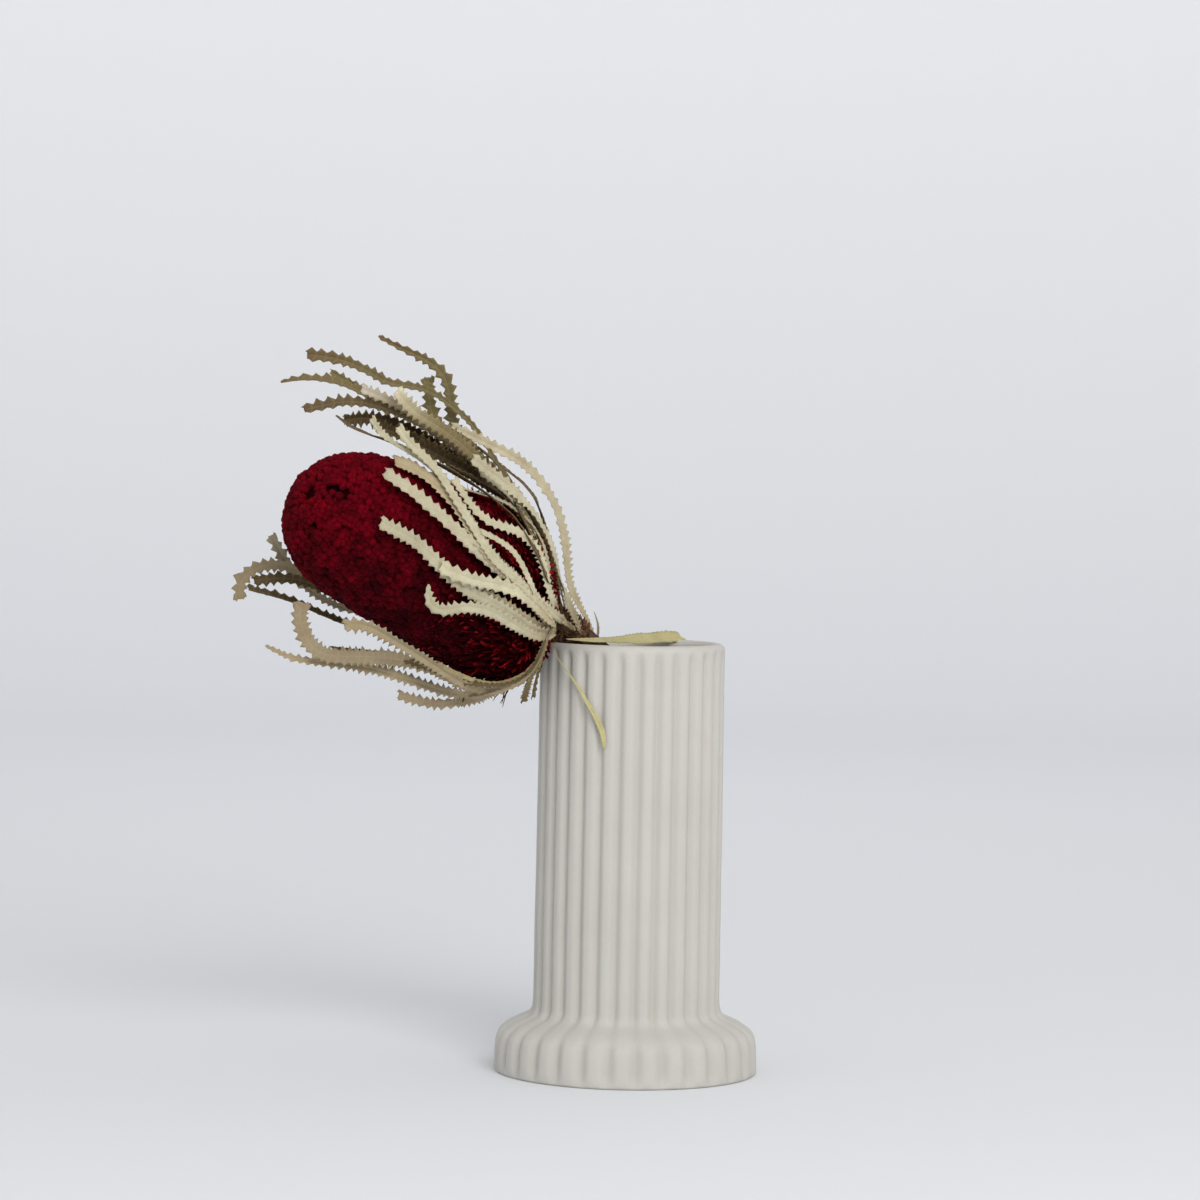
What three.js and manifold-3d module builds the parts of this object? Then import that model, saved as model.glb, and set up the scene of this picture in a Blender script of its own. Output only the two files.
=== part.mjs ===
// A dried banksia flower spike with its saw-toothed leaves, standing in a fluted ceramic vase.
// Millimetres, +Z up. The origin is the centre of the vase's underside, on the surface it
// stands on. +X is to the right and -Y towards somebody who looks at the front.
import * as THREE from 'three';
import Module from 'manifold-3d';
import { mergeVertices } from 'three/addons/utils/BufferGeometryUtils.js';

const wasm = await Module();
wasm.setup();

// ---- driving dimensions ------------------------------------------------------------------

// The vase: a fluted shaft on a wide, rounded foot.
const vaseHeight = 200;
const shaftRadius = 43;
const footRadius = 61.2;
const mouthRadius = 36;
const floorThickness = 9;
const fluteCount = 30;
const fluteDepth = 1.9;
const shoulder = { from: 19, to: 30, grooveDepth: 1.2 };  // between the foot's rim and the shaft
const footGrooveDepth = 2.1;
const firstGroove = 4;          // degrees from the front towards +X
const fluteTop = 197.5;         // the grooves run out below the rounded lip
const fluteFade = 9.5;
const pointsPerFlute = 4;

// The flower spike: a blunt body of revolution that leans over the vase's left side.
const head = {
  centre: new THREE.Vector3(-99.7, -42, 239.6),
  length: 132.5,
  radius: 36.7,
  rise: 27.2,                   // degrees above the horizontal
  towardsFront: 24,             // degrees towards the front
  widerAtBase: 0.113,
  tipExponent: 4.3,
  baseExponent: 6,
  baseSlant: 0.387,             // the lower end is cut at a slant
  floretHeight: 3.2,
  floretColumns: 45,
  floretRows: 37,
};

// Leaves: long straps with teeth like a saw.
const keelDepth = 1.2;          // the blade's thickness at its midrib
const faceShare = 0.35;         // the share of it above the leaf's middle line
const toothPitch = 12.5;
const toothLean = 0.62;         // where a tooth's tip stands between two notches
const notchDepth = 0.42;        // share of the half width
const petioleHalfWidth = 1.2;
const petioleShare = 0.3;
const petioleLimit = 46;
const leafClearance = 1.8;      // between a leaf and the florets
const nearHead = 9;             // a leaf within this of the spike faces away from it
const lipClearance = 3.6;       // between a leaf's middle line and the vase's lip

// The eye point from which the leaf routes below are given.
const eye = new THREE.Vector3(-15.7, -1903, 288.9);

// The woody stem, from below the spike over the left of the lip to the inner right wall.
const stemRoute = [
  [-41.5, -12.8, 209.6, 6.2], [-37, -10.6, 207.6, 6.9], [-31, -8, 204.9, 6.7],
  [-24, -4.8, 200.4, 6.1], [-14, -0.6, 192.6, 5.2], [-2, 3.6, 182.5, 4.9], [10, 7.2, 172, 4.7],
  [20, 9.6, 161, 4.6], [27.6, 11.2, 150, 4.6],
];

// ---- helpers -----------------------------------------------------------------------------

const radians = THREE.MathUtils.degToRad;
const vector = (x, y, z) => new THREE.Vector3(x, y, z);

// A repeatable draw of numbers between 0 and 1.
function seededDraw(seed) {
  let state = seed;
  return () => {
    state = (state + 0x6D2B79F5) | 0;
    let mixed = Math.imul(state ^ (state >>> 15), 1 | state);
    mixed = (mixed + Math.imul(mixed ^ (mixed >>> 7), 61 | mixed)) ^ mixed;
    return ((mixed ^ (mixed >>> 14)) >>> 0) / 4294967296;
  };
}

// A closed skin over rings of points. All rings have the same number of points, and each end
// is closed by a fan from its first point.
function skin(rings) {
  const size = rings[0].length;
  const positions = rings.flat().flatMap((p) => [p.x, p.y, p.z]);
  const faces = [];
  for (let i = 0; i + 1 < rings.length; i++) {
    for (let j = 0; j < size; j++) {
      const a = i * size + j;
      const b = i * size + ((j + 1) % size);
      faces.push(a, b, b + size, a, b + size, a + size);
    }
  }
  const last = (rings.length - 1) * size;
  for (let j = 1; j + 1 < size; j++) {
    faces.push(0, j + 1, j, last, last + j, last + j + 1);
  }
  const geometry = new THREE.BufferGeometry();
  geometry.setAttribute('position', new THREE.Float32BufferAttribute(positions, 3));
  geometry.setIndex(faces);
  return geometry;
}

// The solid that a closed geometry bounds.
function solidOf(geometry) {
  const bare = geometry.clone();
  bare.deleteAttribute('normal');
  bare.deleteAttribute('uv');
  const merged = mergeVertices(bare, 1e-4);
  const index = merged.index.array;
  const faces = [];
  for (let i = 0; i < index.length; i += 3) {
    const [a, b, c] = [index[i], index[i + 1], index[i + 2]];
    if (a !== b && b !== c && a !== c) faces.push(a, b, c);
  }
  const solid = new wasm.Manifold(new wasm.Mesh({
    numProp: 3,
    vertProperties: new Float32Array(merged.attributes.position.array),
    triVerts: new Uint32Array(faces),
  }));
  if (solid.volume() < 0) throw new Error('a skin is inside out');
  return solid;
}

// The largest body of a solid, without sealed hollows or loose scraps.
function largestBody(solid) {
  return solid.decompose().reduce((best, body) => (body.volume() > best.volume() ? body : best));
}

function geometryOf(solid) {
  const mesh = solid.getMesh();
  const geometry = new THREE.BufferGeometry();
  geometry.setAttribute('position', new THREE.BufferAttribute(mesh.vertProperties, 3));
  geometry.setIndex(new THREE.BufferAttribute(mesh.triVerts, 1));
  geometry.computeVertexNormals();
  return geometry;
}

// ---- the vase ----------------------------------------------------------------------------

// How deep the grooves are at a height: full on the shaft, soft on the shoulder, none at
// the lip.
function grooveAt(z) {
  if (z > shoulder.to) return fluteDepth * THREE.MathUtils.clamp((fluteTop - z) / fluteFade, 0, 1);
  return z > shoulder.from ? shoulder.grooveDepth : footGrooveDepth;
}

function vaseGeometry() {
  const lip = 3.6;
  const outline = [
    [0, 0], [footRadius - 1.2, 0], [footRadius, 1.4], [61, 11], [60.1, 16.8], [58.2, 19.6],
    [54.4, 22.5], [48.4, 25.1], [45, 27.2], [43.7, 31], [shaftRadius + 0.4, 60],
    [shaftRadius, 188], [shaftRadius, vaseHeight - lip - 0.6], [shaftRadius - 1.2, vaseHeight - 1],
    [shaftRadius - lip, vaseHeight], [mouthRadius + 1.2, vaseHeight - 0.9],
    [mouthRadius, vaseHeight - 3.4], [mouthRadius, floorThickness], [0, floorThickness],
  ];
  const points = outline.map(([radius, z]) => new THREE.Vector2(radius, z));
  const geometry = new THREE.LatheGeometry(points, fluteCount * pointsPerFlute);
  geometry.rotateX(Math.PI / 2);
  const position = geometry.attributes.position;
  const perRing = points.length;
  for (let i = 0; i < position.count; i++) {
    const x = position.getX(i);
    const y = position.getY(i);
    const z = position.getZ(i);
    const outer = i % perRing < 14 && i % perRing > 0;
    if (!outer) continue;
    const fromFront = Math.atan2(x, -y) - radians(firstGroove);
    const wave = Math.pow(0.5 + 0.5 * Math.cos(fluteCount * fromFront), 2.2);
    const radius = Math.hypot(x, y);
    const scale = (radius - grooveAt(z) * wave) / radius;
    position.setXYZ(i, x * scale, y * scale, z);
  }
  return geometryOf(solidOf(geometry));
}

// ---- the flower spike --------------------------------------------------------------------

// The spike's own directions: along its length towards the tip, across, and up.
head.along = vector(
  -Math.cos(radians(head.rise)) * Math.cos(radians(head.towardsFront)),
  -Math.sin(radians(head.towardsFront)),
  Math.sin(radians(head.rise)) * Math.cos(radians(head.towardsFront)),
);
head.across = vector().crossVectors(head.along, vector(0, 0, 1)).normalize();
head.up = vector().crossVectors(head.across, head.along);

const headRadius = (share) => head.radius * (1 - head.widerAtBase * share);
const headExponent = (share) => (share < 0 ? head.baseExponent : head.tipExponent);

// A point of the spike's surface: share runs from -1 at the base to 1 at the tip, turn is
// the angle round it, and sunk is how far below the outer surface the point lies.
function headPoint(share, turn, sunk) {
  const profile = Math.sqrt(Math.max(0, 1 - Math.abs(share) ** headExponent(share)));
  const radius = profile * (headRadius(share) - sunk);
  const slant = head.baseSlant * radius * Math.sin(turn) * Math.max(0, -share);
  return head.centre.clone()
    .addScaledVector(head.along, share * (head.length / 2 - sunk) + slant)
    .addScaledVector(head.across, radius * Math.cos(turn))
    .addScaledVector(head.up, radius * Math.sin(turn));
}

// Below 1 inside the spike grown by a margin, above 1 outside it.
function headLevel(point, margin) {
  const offset = point.clone().sub(head.centre);
  const up = offset.dot(head.up);
  const half = head.length / 2 + margin;
  let share = offset.dot(head.along) / half;
  share = (offset.dot(head.along) - head.baseSlant * up * Math.max(0, -share)) / half;
  const radius = Math.hypot(offset.dot(head.across), up) / (headRadius(share) + margin);
  return Math.abs(share) ** headExponent(share) + radius ** 2;
}

// The rows of the spike are spaced evenly along its outline, so that the florets are alike
// on the sides and on the two ends.
function headRowShares() {
  const fine = 400;
  const shares = [];
  const lengths = [0];
  for (let i = 0; i <= fine; i++) shares.push(-Math.cos((Math.PI * i) / fine));
  const ground = shares.map((share) => headPoint(share, 0, 0));
  for (let i = 1; i <= fine; i++) lengths.push(lengths[i - 1] + ground[i].distanceTo(ground[i - 1]));
  const rows = [];
  for (let row = 0; row < head.floretRows; row++) {
    const wanted = (lengths[fine] * (row + 0.55)) / (head.floretRows + 0.1);
    const after = lengths.findIndex((length) => length > wanted);
    rows.push(shares[after]);
  }
  return rows;
}

// Florets stand in staggered rows, one raised point for every three, with hollows between.
function headGeometry() {
  const shares = headRowShares();
  const columns = head.floretColumns;
  const points = [];
  shares.forEach((share, row) => {
    for (let column = 0; column < columns; column++) {
      const turn = (2 * Math.PI * (column + (row % 2) / 2)) / columns;
      const isFloret = column % 3 === row % 2;
      points.push(headPoint(share, turn, isFloret ? 0 : head.floretHeight));
    }
  });
  const faces = [];
  for (let row = 0; row + 1 < shares.length; row++) {
    const shift = row % 2;
    for (let column = 0; column < columns; column++) {
      const next = (column + 1) % columns;
      const lower = row * columns;
      const upper = lower + columns;
      if (shift === 0) {
        faces.push(lower + column, upper + column, lower + next);
        faces.push(lower + next, upper + column, upper + next);
      } else {
        faces.push(lower + column, upper + column, upper + next);
        faces.push(lower + column, upper + next, lower + next);
      }
    }
  }
  const base = points.length;
  points.push(headPoint(-1, 0, head.floretHeight), headPoint(1, 0, head.floretHeight / 2));
  const top = (shares.length - 1) * columns;
  for (let column = 0; column < columns; column++) {
    const next = (column + 1) % columns;
    faces.push(base, column, next);
    faces.push(base + 1, top + next, top + column);
  }
  const geometry = new THREE.BufferGeometry();
  const positions = points.flatMap((p) => [p.x, p.y, p.z]);
  geometry.setAttribute('position', new THREE.Float32BufferAttribute(positions, 3));
  geometry.setIndex(faces);
  return geometry;
}

// Loose styles stand out of the lower end: thin three-sided spikes, sunk into the body.
function styleGeometry(share, turn, reach, lean) {
  const root = headPoint(share, turn, 6);
  const outward = headPoint(share, turn, 0).sub(root).normalize();
  const tip = root.clone().addScaledVector(outward, 6 + reach).addScaledVector(head.along, -lean);
  const side = vector().crossVectors(outward, head.along).normalize();
  const third = vector().crossVectors(outward, side);
  const ring = (centre, radius) => [0, 1, 2].map((corner) => {
    const angle = (2 * Math.PI * corner) / 3;
    return centre.clone()
      .addScaledVector(side, radius * Math.cos(angle))
      .addScaledVector(third, radius * Math.sin(angle));
  });
  return skin([ring(root, 1), ring(tip, 0.45)]);
}

function spikeGeometry() {
  let solid = solidOf(headGeometry());
  const draw = seededDraw(11);
  const styles = [];
  for (let i = 0; i < 26; i++) {
    const turn = radians(200 + 140 * draw());
    const style = styleGeometry(-0.55 - 0.35 * draw(), turn, 1.5 + 1.5 * draw(), 1 + 2 * draw());
    styles.push(solidOf(style));
  }
  for (const style of styles) solid = solid.add(style);
  return geometryOf(largestBody(solid));
}

// ---- leaves ------------------------------------------------------------------------------

// Each route runs from the stem to the leaf's tip, as seen from the front: x and z are where
// the sight line from the eye crosses the upright plane through the vase's axis. Depth says
// how far in front of that plane the leaf lies, at its root, at one and two thirds of its
// length and at its tip. Roll turns the blade about its length away from facing the viewer,
// at the root and at the tip. A leaf with side 1 passes in front of the spike and one with
// side -1 behind it. Lift is what it keeps from the florets and the lip beside the usual
// clearance.
const leaves = [
  // across the front of the spike
  { name: 'frontUpper', depth: [16, 58, 60, 60], lift: 3.0, width: 7.8, roll: [0, 0], side: 1,
    route: [
      [-36, 207.5], [-40, 213], [-45, 218.8], [-50.5, 223.8], [-56, 228.4], [-61.5, 232.4],
      [-67, 236.6], [-72, 241], [-77, 245.6], [-81.3, 249.6], [-87.5, 255], [-95.5, 262],
      [-102.5, 267.5], [-109.5, 272.3], [-116.5, 276.7]] },
  { name: 'frontLong', depth: [10, 60, 64, 64], lift: 4.4, width: 8, roll: [0, 0], side: 1,
    route: [
      [-27, 205.2], [-31, 208], [-36, 211.8], [-41.5, 216.2], [-46.5, 220.8], [-51.5, 225.4],
      [-56.5, 229.8], [-61, 233.6], [-65.5, 238], [-69.5, 243.4], [-73.4, 249.7], [-78, 256.7],
      [-82.7, 263.8], [-87.3, 271], [-92.3, 278], [-97.5, 283.8], [-102.5, 288.3], [-107, 292.6],
      [-110.5, 298]] },
  { name: 'frontSmooth', depth: [18, 58, 60, 60], lift: 4.6, width: 3, roll: [20, 20], side: 1,
    route: [
      [-36, 210], [-40, 215], [-45, 221.5], [-48.6, 227.3], [-51.3, 232.4], [-54.2, 238],
      [-57, 241.8], [-61.5, 245.7], [-67, 248.9], [-73, 251.8]] },
  { name: 'frontArched', depth: [15, 48, 56, 58], lift: 1.6, width: 6.6, roll: [10, 0], side: 1,
    route: [
      [-34, 211], [-38.5, 220], [-41, 229], [-42.6, 236], [-45.4, 242.4], [-49.7, 247.3],
      [-54.5, 250.4], [-60, 252.2], [-65.5, 253.2], [-71, 256.4], [-75.7, 261.2], [-80, 267],
      [-84.5, 274]] },
  { name: 'frontUnder', depth: [16, 60, 60, 60], lift: 1.6, width: 7.4, roll: [60, 5], side: 1,
    route: [
      [-36, 208], [-43.5, 213], [-51, 222.5], [-59, 231], [-66, 237], [-70, 241.5], [-73, 246.3],
      [-76.8, 252.3], [-80.5, 258.3], [-85, 264.3], [-90, 269.5], [-95.5, 274], [-101.5, 277.8],
      [-107, 280.6], [-112, 281.8]] },
  { name: 'frontMiddle', depth: [18, 58, 60, 60], lift: 2.2, width: 8, roll: [0, 0], side: 1,
    route: [
      [-36, 204.5], [-40.5, 203], [-44, 203.8], [-48.5, 206.2], [-53, 209.2], [-58, 212.8],
      [-64, 216.2], [-70, 219], [-75.5, 222], [-80.5, 225.4], [-85.5, 229.5], [-90, 233.7],
      [-94, 238], [-98, 242], [-102.5, 245.7], [-107.5, 248.5], [-112.5, 250.8], [-118, 253.6]] },
  { name: 'frontBroad', depth: [18, 60, 66, 72], lift: 4.6, width: 8.4, roll: [0, 0], side: 1,
    route: [
      [-36, 206.5], [-38.5, 208.5], [-41.5, 212], [-45.4, 216.2], [-49, 219.6], [-52.9, 222.2],
      [-57.5, 224.2], [-62.3, 225.5], [-67, 226.3], [-71.6, 227.1], [-76.3, 228.1], [-80.9, 229.5],
      [-85.5, 231.4], [-89.8, 233.8]] },
  { name: 'frontTan', depth: [22, 58, 60, 60], lift: 0.4, width: 6.5, roll: [5, 0], side: 1,
    route: [
      [-37, 204.5], [-44, 206.3], [-52, 211.2], [-60, 216.8], [-68, 220.8], [-75, 224], [-82, 227.8],
      [-88.5, 232]] },
  { name: 'frontLow', depth: [18, 58, 64, 76], lift: 3.4, width: 7, roll: [0, 0], side: 1,
    route: [
      [-36, 203], [-40, 201], [-43.5, 201.4], [-47.5, 203], [-52.6, 205.6], [-58.3, 208.9],
      [-64.3, 212.2], [-70, 214.4], [-75.5, 215.1], [-81, 214.7], [-86.5, 213.6], [-91.3, 213.4],
      [-94.4, 215.8], [-95.6, 220], [-95.4, 225]] },
  // the bundle that arches over the spike
  { name: 'archOuter', depth: [0, 4, 10, 22], lift: 0, width: 5.6, roll: [50, 20], side: 1,
    route: [
      [-17.5, 198.5], [-19, 205], [-21.5, 210], [-24.8, 215], [-28, 221], [-30.5, 227], [-31.6, 233],
      [-32, 239], [-32.6, 246], [-34, 253], [-36.3, 260], [-39.5, 266.5], [-43.5, 272.7], [-48, 278],
      [-53.5, 282.7], [-59.5, 286.2], [-66, 289.3], [-72.5, 292.2], [-79, 295.3], [-86, 298.5]] },
  { name: 'archBroad', depth: [6, 14, 22, 36], lift: 0, width: 8, roll: [20, 10], side: 1,
    route: [
      [-24, 203], [-28, 213], [-31.8, 220.5], [-34.3, 228], [-36.3, 236], [-38.5, 243.5],
      [-41.5, 250.5], [-45.5, 257], [-50.5, 263], [-56, 268.6], [-62.5, 273.8], [-69, 278.6],
      [-76, 283.8], [-83, 288.8], [-90, 293.3], [-97.5, 297.3]] },
  { name: 'archInner', depth: [12, 30, 38, 47], lift: 0.8, width: 6.4, roll: [40, 25], side: 1,
    route: [
      [-35, 210], [-38.3, 222], [-40, 232], [-41.3, 240.5], [-43.7, 247.4], [-48, 254],
      [-53.2, 258.9], [-58.5, 262.4], [-64.5, 265.2], [-70.5, 267], [-76.5, 268.6], [-82.5, 270.4],
      [-88.5, 273.4], [-94.5, 277]] },
  { name: 'archEdge', depth: [8, 19, 25, 34], lift: 0, width: 4.6, roll: [75, 75], side: 1,
    route: [
      [-31, 209], [-36.3, 226], [-38.3, 236], [-40.3, 246], [-42.8, 256], [-46.3, 265.5],
      [-50.5, 271.7], [-56.5, 276.2], [-63.5, 281], [-71.5, 287.3], [-80, 293.3], [-87, 297.5],
      [-93.5, 301]] },
  { name: 'archThin', depth: [10, 22, 25, 28], lift: 0, width: 4.4, roll: [70, 75], side: 1,
    route: [
      [-33, 210], [-38.8, 238], [-44.8, 252.5], [-51, 262.7], [-57, 272], [-61.8, 279], [-67, 284.3],
      [-73.5, 289.3]] },
  { name: 'archPale', depth: [12, 10, 26, 36], lift: 0, width: 7, roll: [10, 15], side: 1,
    route: [
      [-34, 210], [-39.8, 234], [-46.8, 250.3], [-55.5, 262.8], [-64, 271.5], [-72, 278.5],
      [-80, 284.2], [-87, 288.5], [-93.5, 292]] },
  { name: 'archShade', depth: [12, 26, 31, 36], lift: 0, width: 7, roll: [40, 50], side: 1,
    route: [
      [-35, 210], [-40, 232], [-46, 248.5], [-54, 259.3], [-62, 266.7], [-70, 271.5], [-78, 275.5],
      [-87, 280]] },
  // tips that fan out above
  { name: 'topStraight', depth: [2, -24, -20, 8], lift: 0, width: 6.6, roll: [10, 5], side: -1,
    route: [
      [-30, 206], [-34, 224], [-38, 238], [-44, 252], [-54, 266], [-66, 278], [-78, 288], [-85, 295],
      [-88, 302], [-88.4, 309], [-88.7, 316], [-90, 321.7], [-93, 325.7], [-97.5, 329],
      [-103, 331.6], [-108, 333.4], [-113.5, 335.8], [-120.5, 339.7]] },
  { name: 'topOlive', depth: [3, -20, -10, 32], lift: 0, width: 7, roll: [30, 42], side: -1,
    route: [
      [-32, 207], [-36, 226], [-40, 240], [-48, 256], [-58, 272], [-66, 284], [-71.5, 292.7],
      [-75.3, 298.3], [-80, 303.3], [-86, 308], [-92, 312.3], [-98, 315.6], [-104, 317.2],
      [-110, 317], [-116, 317.7], [-121, 320.7], [-126, 324], [-132, 326.7], [-139, 328.9],
      [-146, 330.1], [-153.5, 330.4]] },
  { name: 'topBlunt', depth: [4, -16, -8, 20], lift: 0, width: 7, roll: [10, 0], side: -1,
    route: [
      [-32, 207], [-38, 226], [-44, 244], [-54, 262], [-66, 277], [-78, 287.5], [-88, 294],
      [-93.5, 299], [-96.2, 305], [-97, 311], [-97.2, 316], [-97.2, 321]] },
  { name: 'topFar', depth: [6, -8, 32, 58], lift: 0, width: 7, roll: [30, 48], side: 1,
    route: [
      [-33, 207], [-38, 228], [-43, 246], [-52, 262], [-64, 275], [-78, 286], [-90, 293],
      [-100, 298.5], [-108, 303], [-115, 306.8], [-121, 309.7], [-126, 312.2], [-131, 315],
      [-137, 317.7], [-144, 319.2], [-152, 319.5], [-159, 319.3], [-165.5, 317.4]] },
  { name: 'topShort', depth: [7, -1, 24, 44], lift: 0, width: 5, roll: [20, 10], side: 1,
    route: [
      [-33, 208], [-42, 244], [-64, 274], [-88, 293], [-100, 299.7], [-112, 306.8], [-122, 311.8],
      [-130, 315.8], [-135, 318.5], [-138.5, 321], [-142.5, 322.7]] },
  { name: 'topBrown', depth: [11, 28, 48, 66], lift: 1.2, width: 7.2, roll: [30, 20], side: 1,
    route: [
      [-34, 206], [-39, 226], [-46, 244], [-57, 259.5], [-70, 271], [-84, 280.5], [-97, 290.3],
      [-108, 298.7], [-116, 303.7], [-123, 307], [-129, 309.2], [-134.5, 309.8], [-140, 308.8],
      [-146, 307], [-154.5, 304.8]] },
  { name: 'topDarkHigh', depth: [5, -12, 14, 38], lift: 0, width: 8, roll: [-10, -15], side: 1,
    route: [
      [-34, 207], [-39, 230], [-47, 250], [-60, 266], [-74, 277.5], [-87, 286.5], [-97, 292.5],
      [-106, 297.3], [-114, 300.7], [-122, 302.4], [-129, 302.4], [-136, 300.6]] },
  { name: 'topDarkMiddle', depth: [9, 7, 22, 37], lift: 0, width: 8, roll: [0, 5], side: 1,
    route: [
      [-35, 206], [-40, 230], [-48, 248], [-60, 262.7], [-74, 274.5], [-88, 284], [-98, 290],
      [-106, 293.8], [-113, 296.2], [-121, 297.3]] },
  { name: 'topDarkLow', depth: [9, 4, 16, 31], lift: 0.6, width: 7, roll: [0, 10], side: 1,
    route: [
      [-35, 207], [-42, 232], [-52, 252.5], [-64, 266.7], [-76, 276.3], [-86, 282.5], [-94, 286.3],
      [-101.5, 289.5]] },
  { name: 'topCurl', depth: [14, 36, 54, 68], lift: 2, width: 4.8, roll: [60, 68], side: 1,
    route: [
      [-34, 206], [-43, 236], [-51, 250.5], [-62, 262.5], [-76, 272], [-90, 280], [-103, 286],
      [-112, 290], [-120, 293], [-127, 294.8], [-132, 296.3], [-136, 298.6], [-139.8, 302.5]] },
  { name: 'topCream', depth: [16, 56, 58, 64], lift: 1.2, width: 6.6, roll: [10, 5], side: 1,
    route: [
      [-36, 206], [-42, 216], [-50, 226.5], [-60, 239], [-70, 251], [-79, 262], [-88, 272.3],
      [-95, 279], [-101, 283.7], [-107, 287], [-113, 290.3], [-118, 293.8], [-121.3, 297.3],
      [-123.3, 301.5]] },
  { name: 'topPale', depth: [8, 2, 26, 46], lift: 0, width: 6.6, roll: [10, 0], side: 1,
    route: [
      [-33, 208], [-40, 236], [-50, 256], [-64, 272.3], [-80, 285.8], [-94, 296.3], [-104, 303.7],
      [-111, 308.7], [-117, 311.5], [-122.5, 313.2], [-128, 315.2]] },
  { name: 'topPaleBroad', depth: [7, -4, 18, 34], lift: 0, width: 8.2, roll: [10, 0], side: 1,
    route: [
      [-32, 207], [-40, 238], [-52, 260], [-66, 276.3], [-78, 287.7], [-88, 296], [-95, 300.4],
      [-101, 303.2], [-106, 306.4], [-109.5, 310], [-111.7, 314.3]] },
  // below and to the left of the spike
  { name: 'leftDarkHigh', depth: [8, -6, 6, 22], lift: 0.6, width: 7, roll: [20, 20], side: -1,
    route: [
      [-38, 206], [-44, 199], [-54, 195], [-68, 194], [-88, 199], [-108, 206], [-126, 213.3],
      [-138, 218.7], [-146, 222.3], [-153, 225], [-160, 226.4], [-168, 226.2], [-176.5, 224.6]] },
  { name: 'leftDarkLow', depth: [10, 6, 16, 27], lift: 2.4, width: 6.6, roll: [50, 50], side: -1,
    route: [
      [-38, 205], [-43.5, 196], [-54, 191], [-72, 190], [-92, 195], [-112, 201.3], [-128, 206.7],
      [-136, 209.5], [-143, 212.2], [-150, 215.2], [-157, 218.4], [-164, 220.8], [-171, 222.4],
      [-179, 224.1]] },
  { name: 'leftRaised', depth: [6, -10, 2, 16], lift: 2.4, width: 6.2, roll: [40, 5], side: -1,
    route: [
      [-39, 207], [-46, 202], [-58, 200], [-76, 202], [-98, 206.5], [-118, 210], [-134, 212.7],
      [-143, 216.3], [-150, 220.6], [-155, 225], [-159.5, 230.3], [-163, 235.5], [-165.8, 240.6],
      [-168.8, 246.5]] },
  { name: 'leftDrooping', depth: [7, -4, 10, 26], lift: 4.6, width: 7.2, roll: [10, 0], side: -1,
    route: [
      [-38, 207], [-45, 201], [-58, 197], [-80, 199], [-104, 207], [-126, 216.5], [-142, 224],
      [-153, 229.3], [-160, 232.4], [-167, 233.7], [-174, 232.7], [-180, 229.8], [-184.3, 225.6],
      [-185.2, 221], [-182.8, 216.6]] },
  { name: 'lowFront', depth: [13, 34, 58, 73], lift: 2.4, width: 7, roll: [20, 0], side: 1,
    route: [
      [-37.5, 206], [-39.8, 201.8], [-42, 194], [-44.5, 187.7], [-48.5, 182.8], [-54.5, 179.3],
      [-61.5, 177.2], [-68.5, 176.5], [-75, 177.7], [-81, 180.7], [-87, 184.3], [-93.3, 188.5],
      [-100, 192.6], [-106, 196.2], [-112, 199.7], [-118, 203], [-124, 205.4], [-129, 206.1],
      [-134.3, 205]] },
  { name: 'lowThin', depth: [13, 32, 42, 54], lift: 0.6, width: 4, roll: [50, 60], side: 1,
    route: [
      [-38, 204.5], [-40.5, 201], [-43, 194.5], [-46, 188.3], [-50.5, 183.8], [-56.5, 180.7],
      [-63.5, 179.2], [-70.5, 179.7], [-77.5, 182], [-84.5, 184.8], [-90.5, 188.3]] },
  { name: 'lowLong', depth: [12, 28, 46, 59], lift: 3.6, width: 9.4, roll: [20, 0], side: 1,
    route: [
      [-38.3, 205], [-40.2, 201.6], [-41.8, 191], [-46, 183.3], [-52.5, 178.7], [-60, 176], [-68, 175.2],
      [-75.3, 176.6], [-82, 180], [-88, 183.5], [-95, 186.7], [-103, 189], [-111, 190.3],
      [-120, 190.6], [-129, 190.7], [-138, 190.8], [-145, 191.8], [-149.6, 195.2], [-152.5, 200],
      [-154.8, 205.5], [-155.6, 210.5], [-153.7, 215.5]] },
  { name: 'lowToothed', depth: [11, 24, 38, 53], lift: 0, width: 7, roll: [20, 5], side: 1,
    route: [
      [-37.5, 205], [-39.8, 201.5], [-42, 189], [-47, 181], [-55, 177], [-64, 175], [-73, 174.2],
      [-82, 174.2], [-90, 175.7], [-98, 178.6], [-106, 181.3], [-114, 183.6], [-122, 185.5],
      [-130, 186.9], [-138, 187.6], [-146, 188], [-153, 188.7], [-159, 189.7], [-164, 191.8],
      [-170.7, 195.2]] },
  { name: 'lowDark', depth: [10, 22, 36, 49], lift: 4.8, width: 5, roll: [50, 70], side: 1,
    route: [
      [-38.5, 206], [-41, 200], [-45, 188], [-52, 181], [-64, 178.5], [-80, 180.5], [-96, 186.7],
      [-110, 191.4], [-122, 193], [-130, 193.8], [-139.5, 194.4]] },
  { name: 'lowestCurl', depth: [9, 20, 22, 29], lift: 6, width: 6.4, roll: [30, 0], side: 1,
    route: [
      [-37.5, 204.5], [-39.8, 200.5], [-42.8, 187], [-49, 179], [-58, 174.8], [-67, 172.8],
      [-76, 171.9], [-84, 170.4], [-90, 169.5], [-96, 169.9], [-102, 171.5], [-108.5, 173.4]] },
  // short stubs below the spike's base and beside the stem
  { name: 'stubLeft', depth: [12, 24, 24, 25], lift: 3.0, width: 4.4, roll: [20, 10], side: 1,
    route: [
      [-38.5, 205], [-40.8, 200], [-43.8, 191], [-46.8, 184.5], [-48.9, 178], [-50.3, 171.5]] },
  { name: 'stubRight', depth: [12, 22, 20, 20], lift: 0.6, width: 3.4, roll: [20, 10], side: 1,
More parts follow.
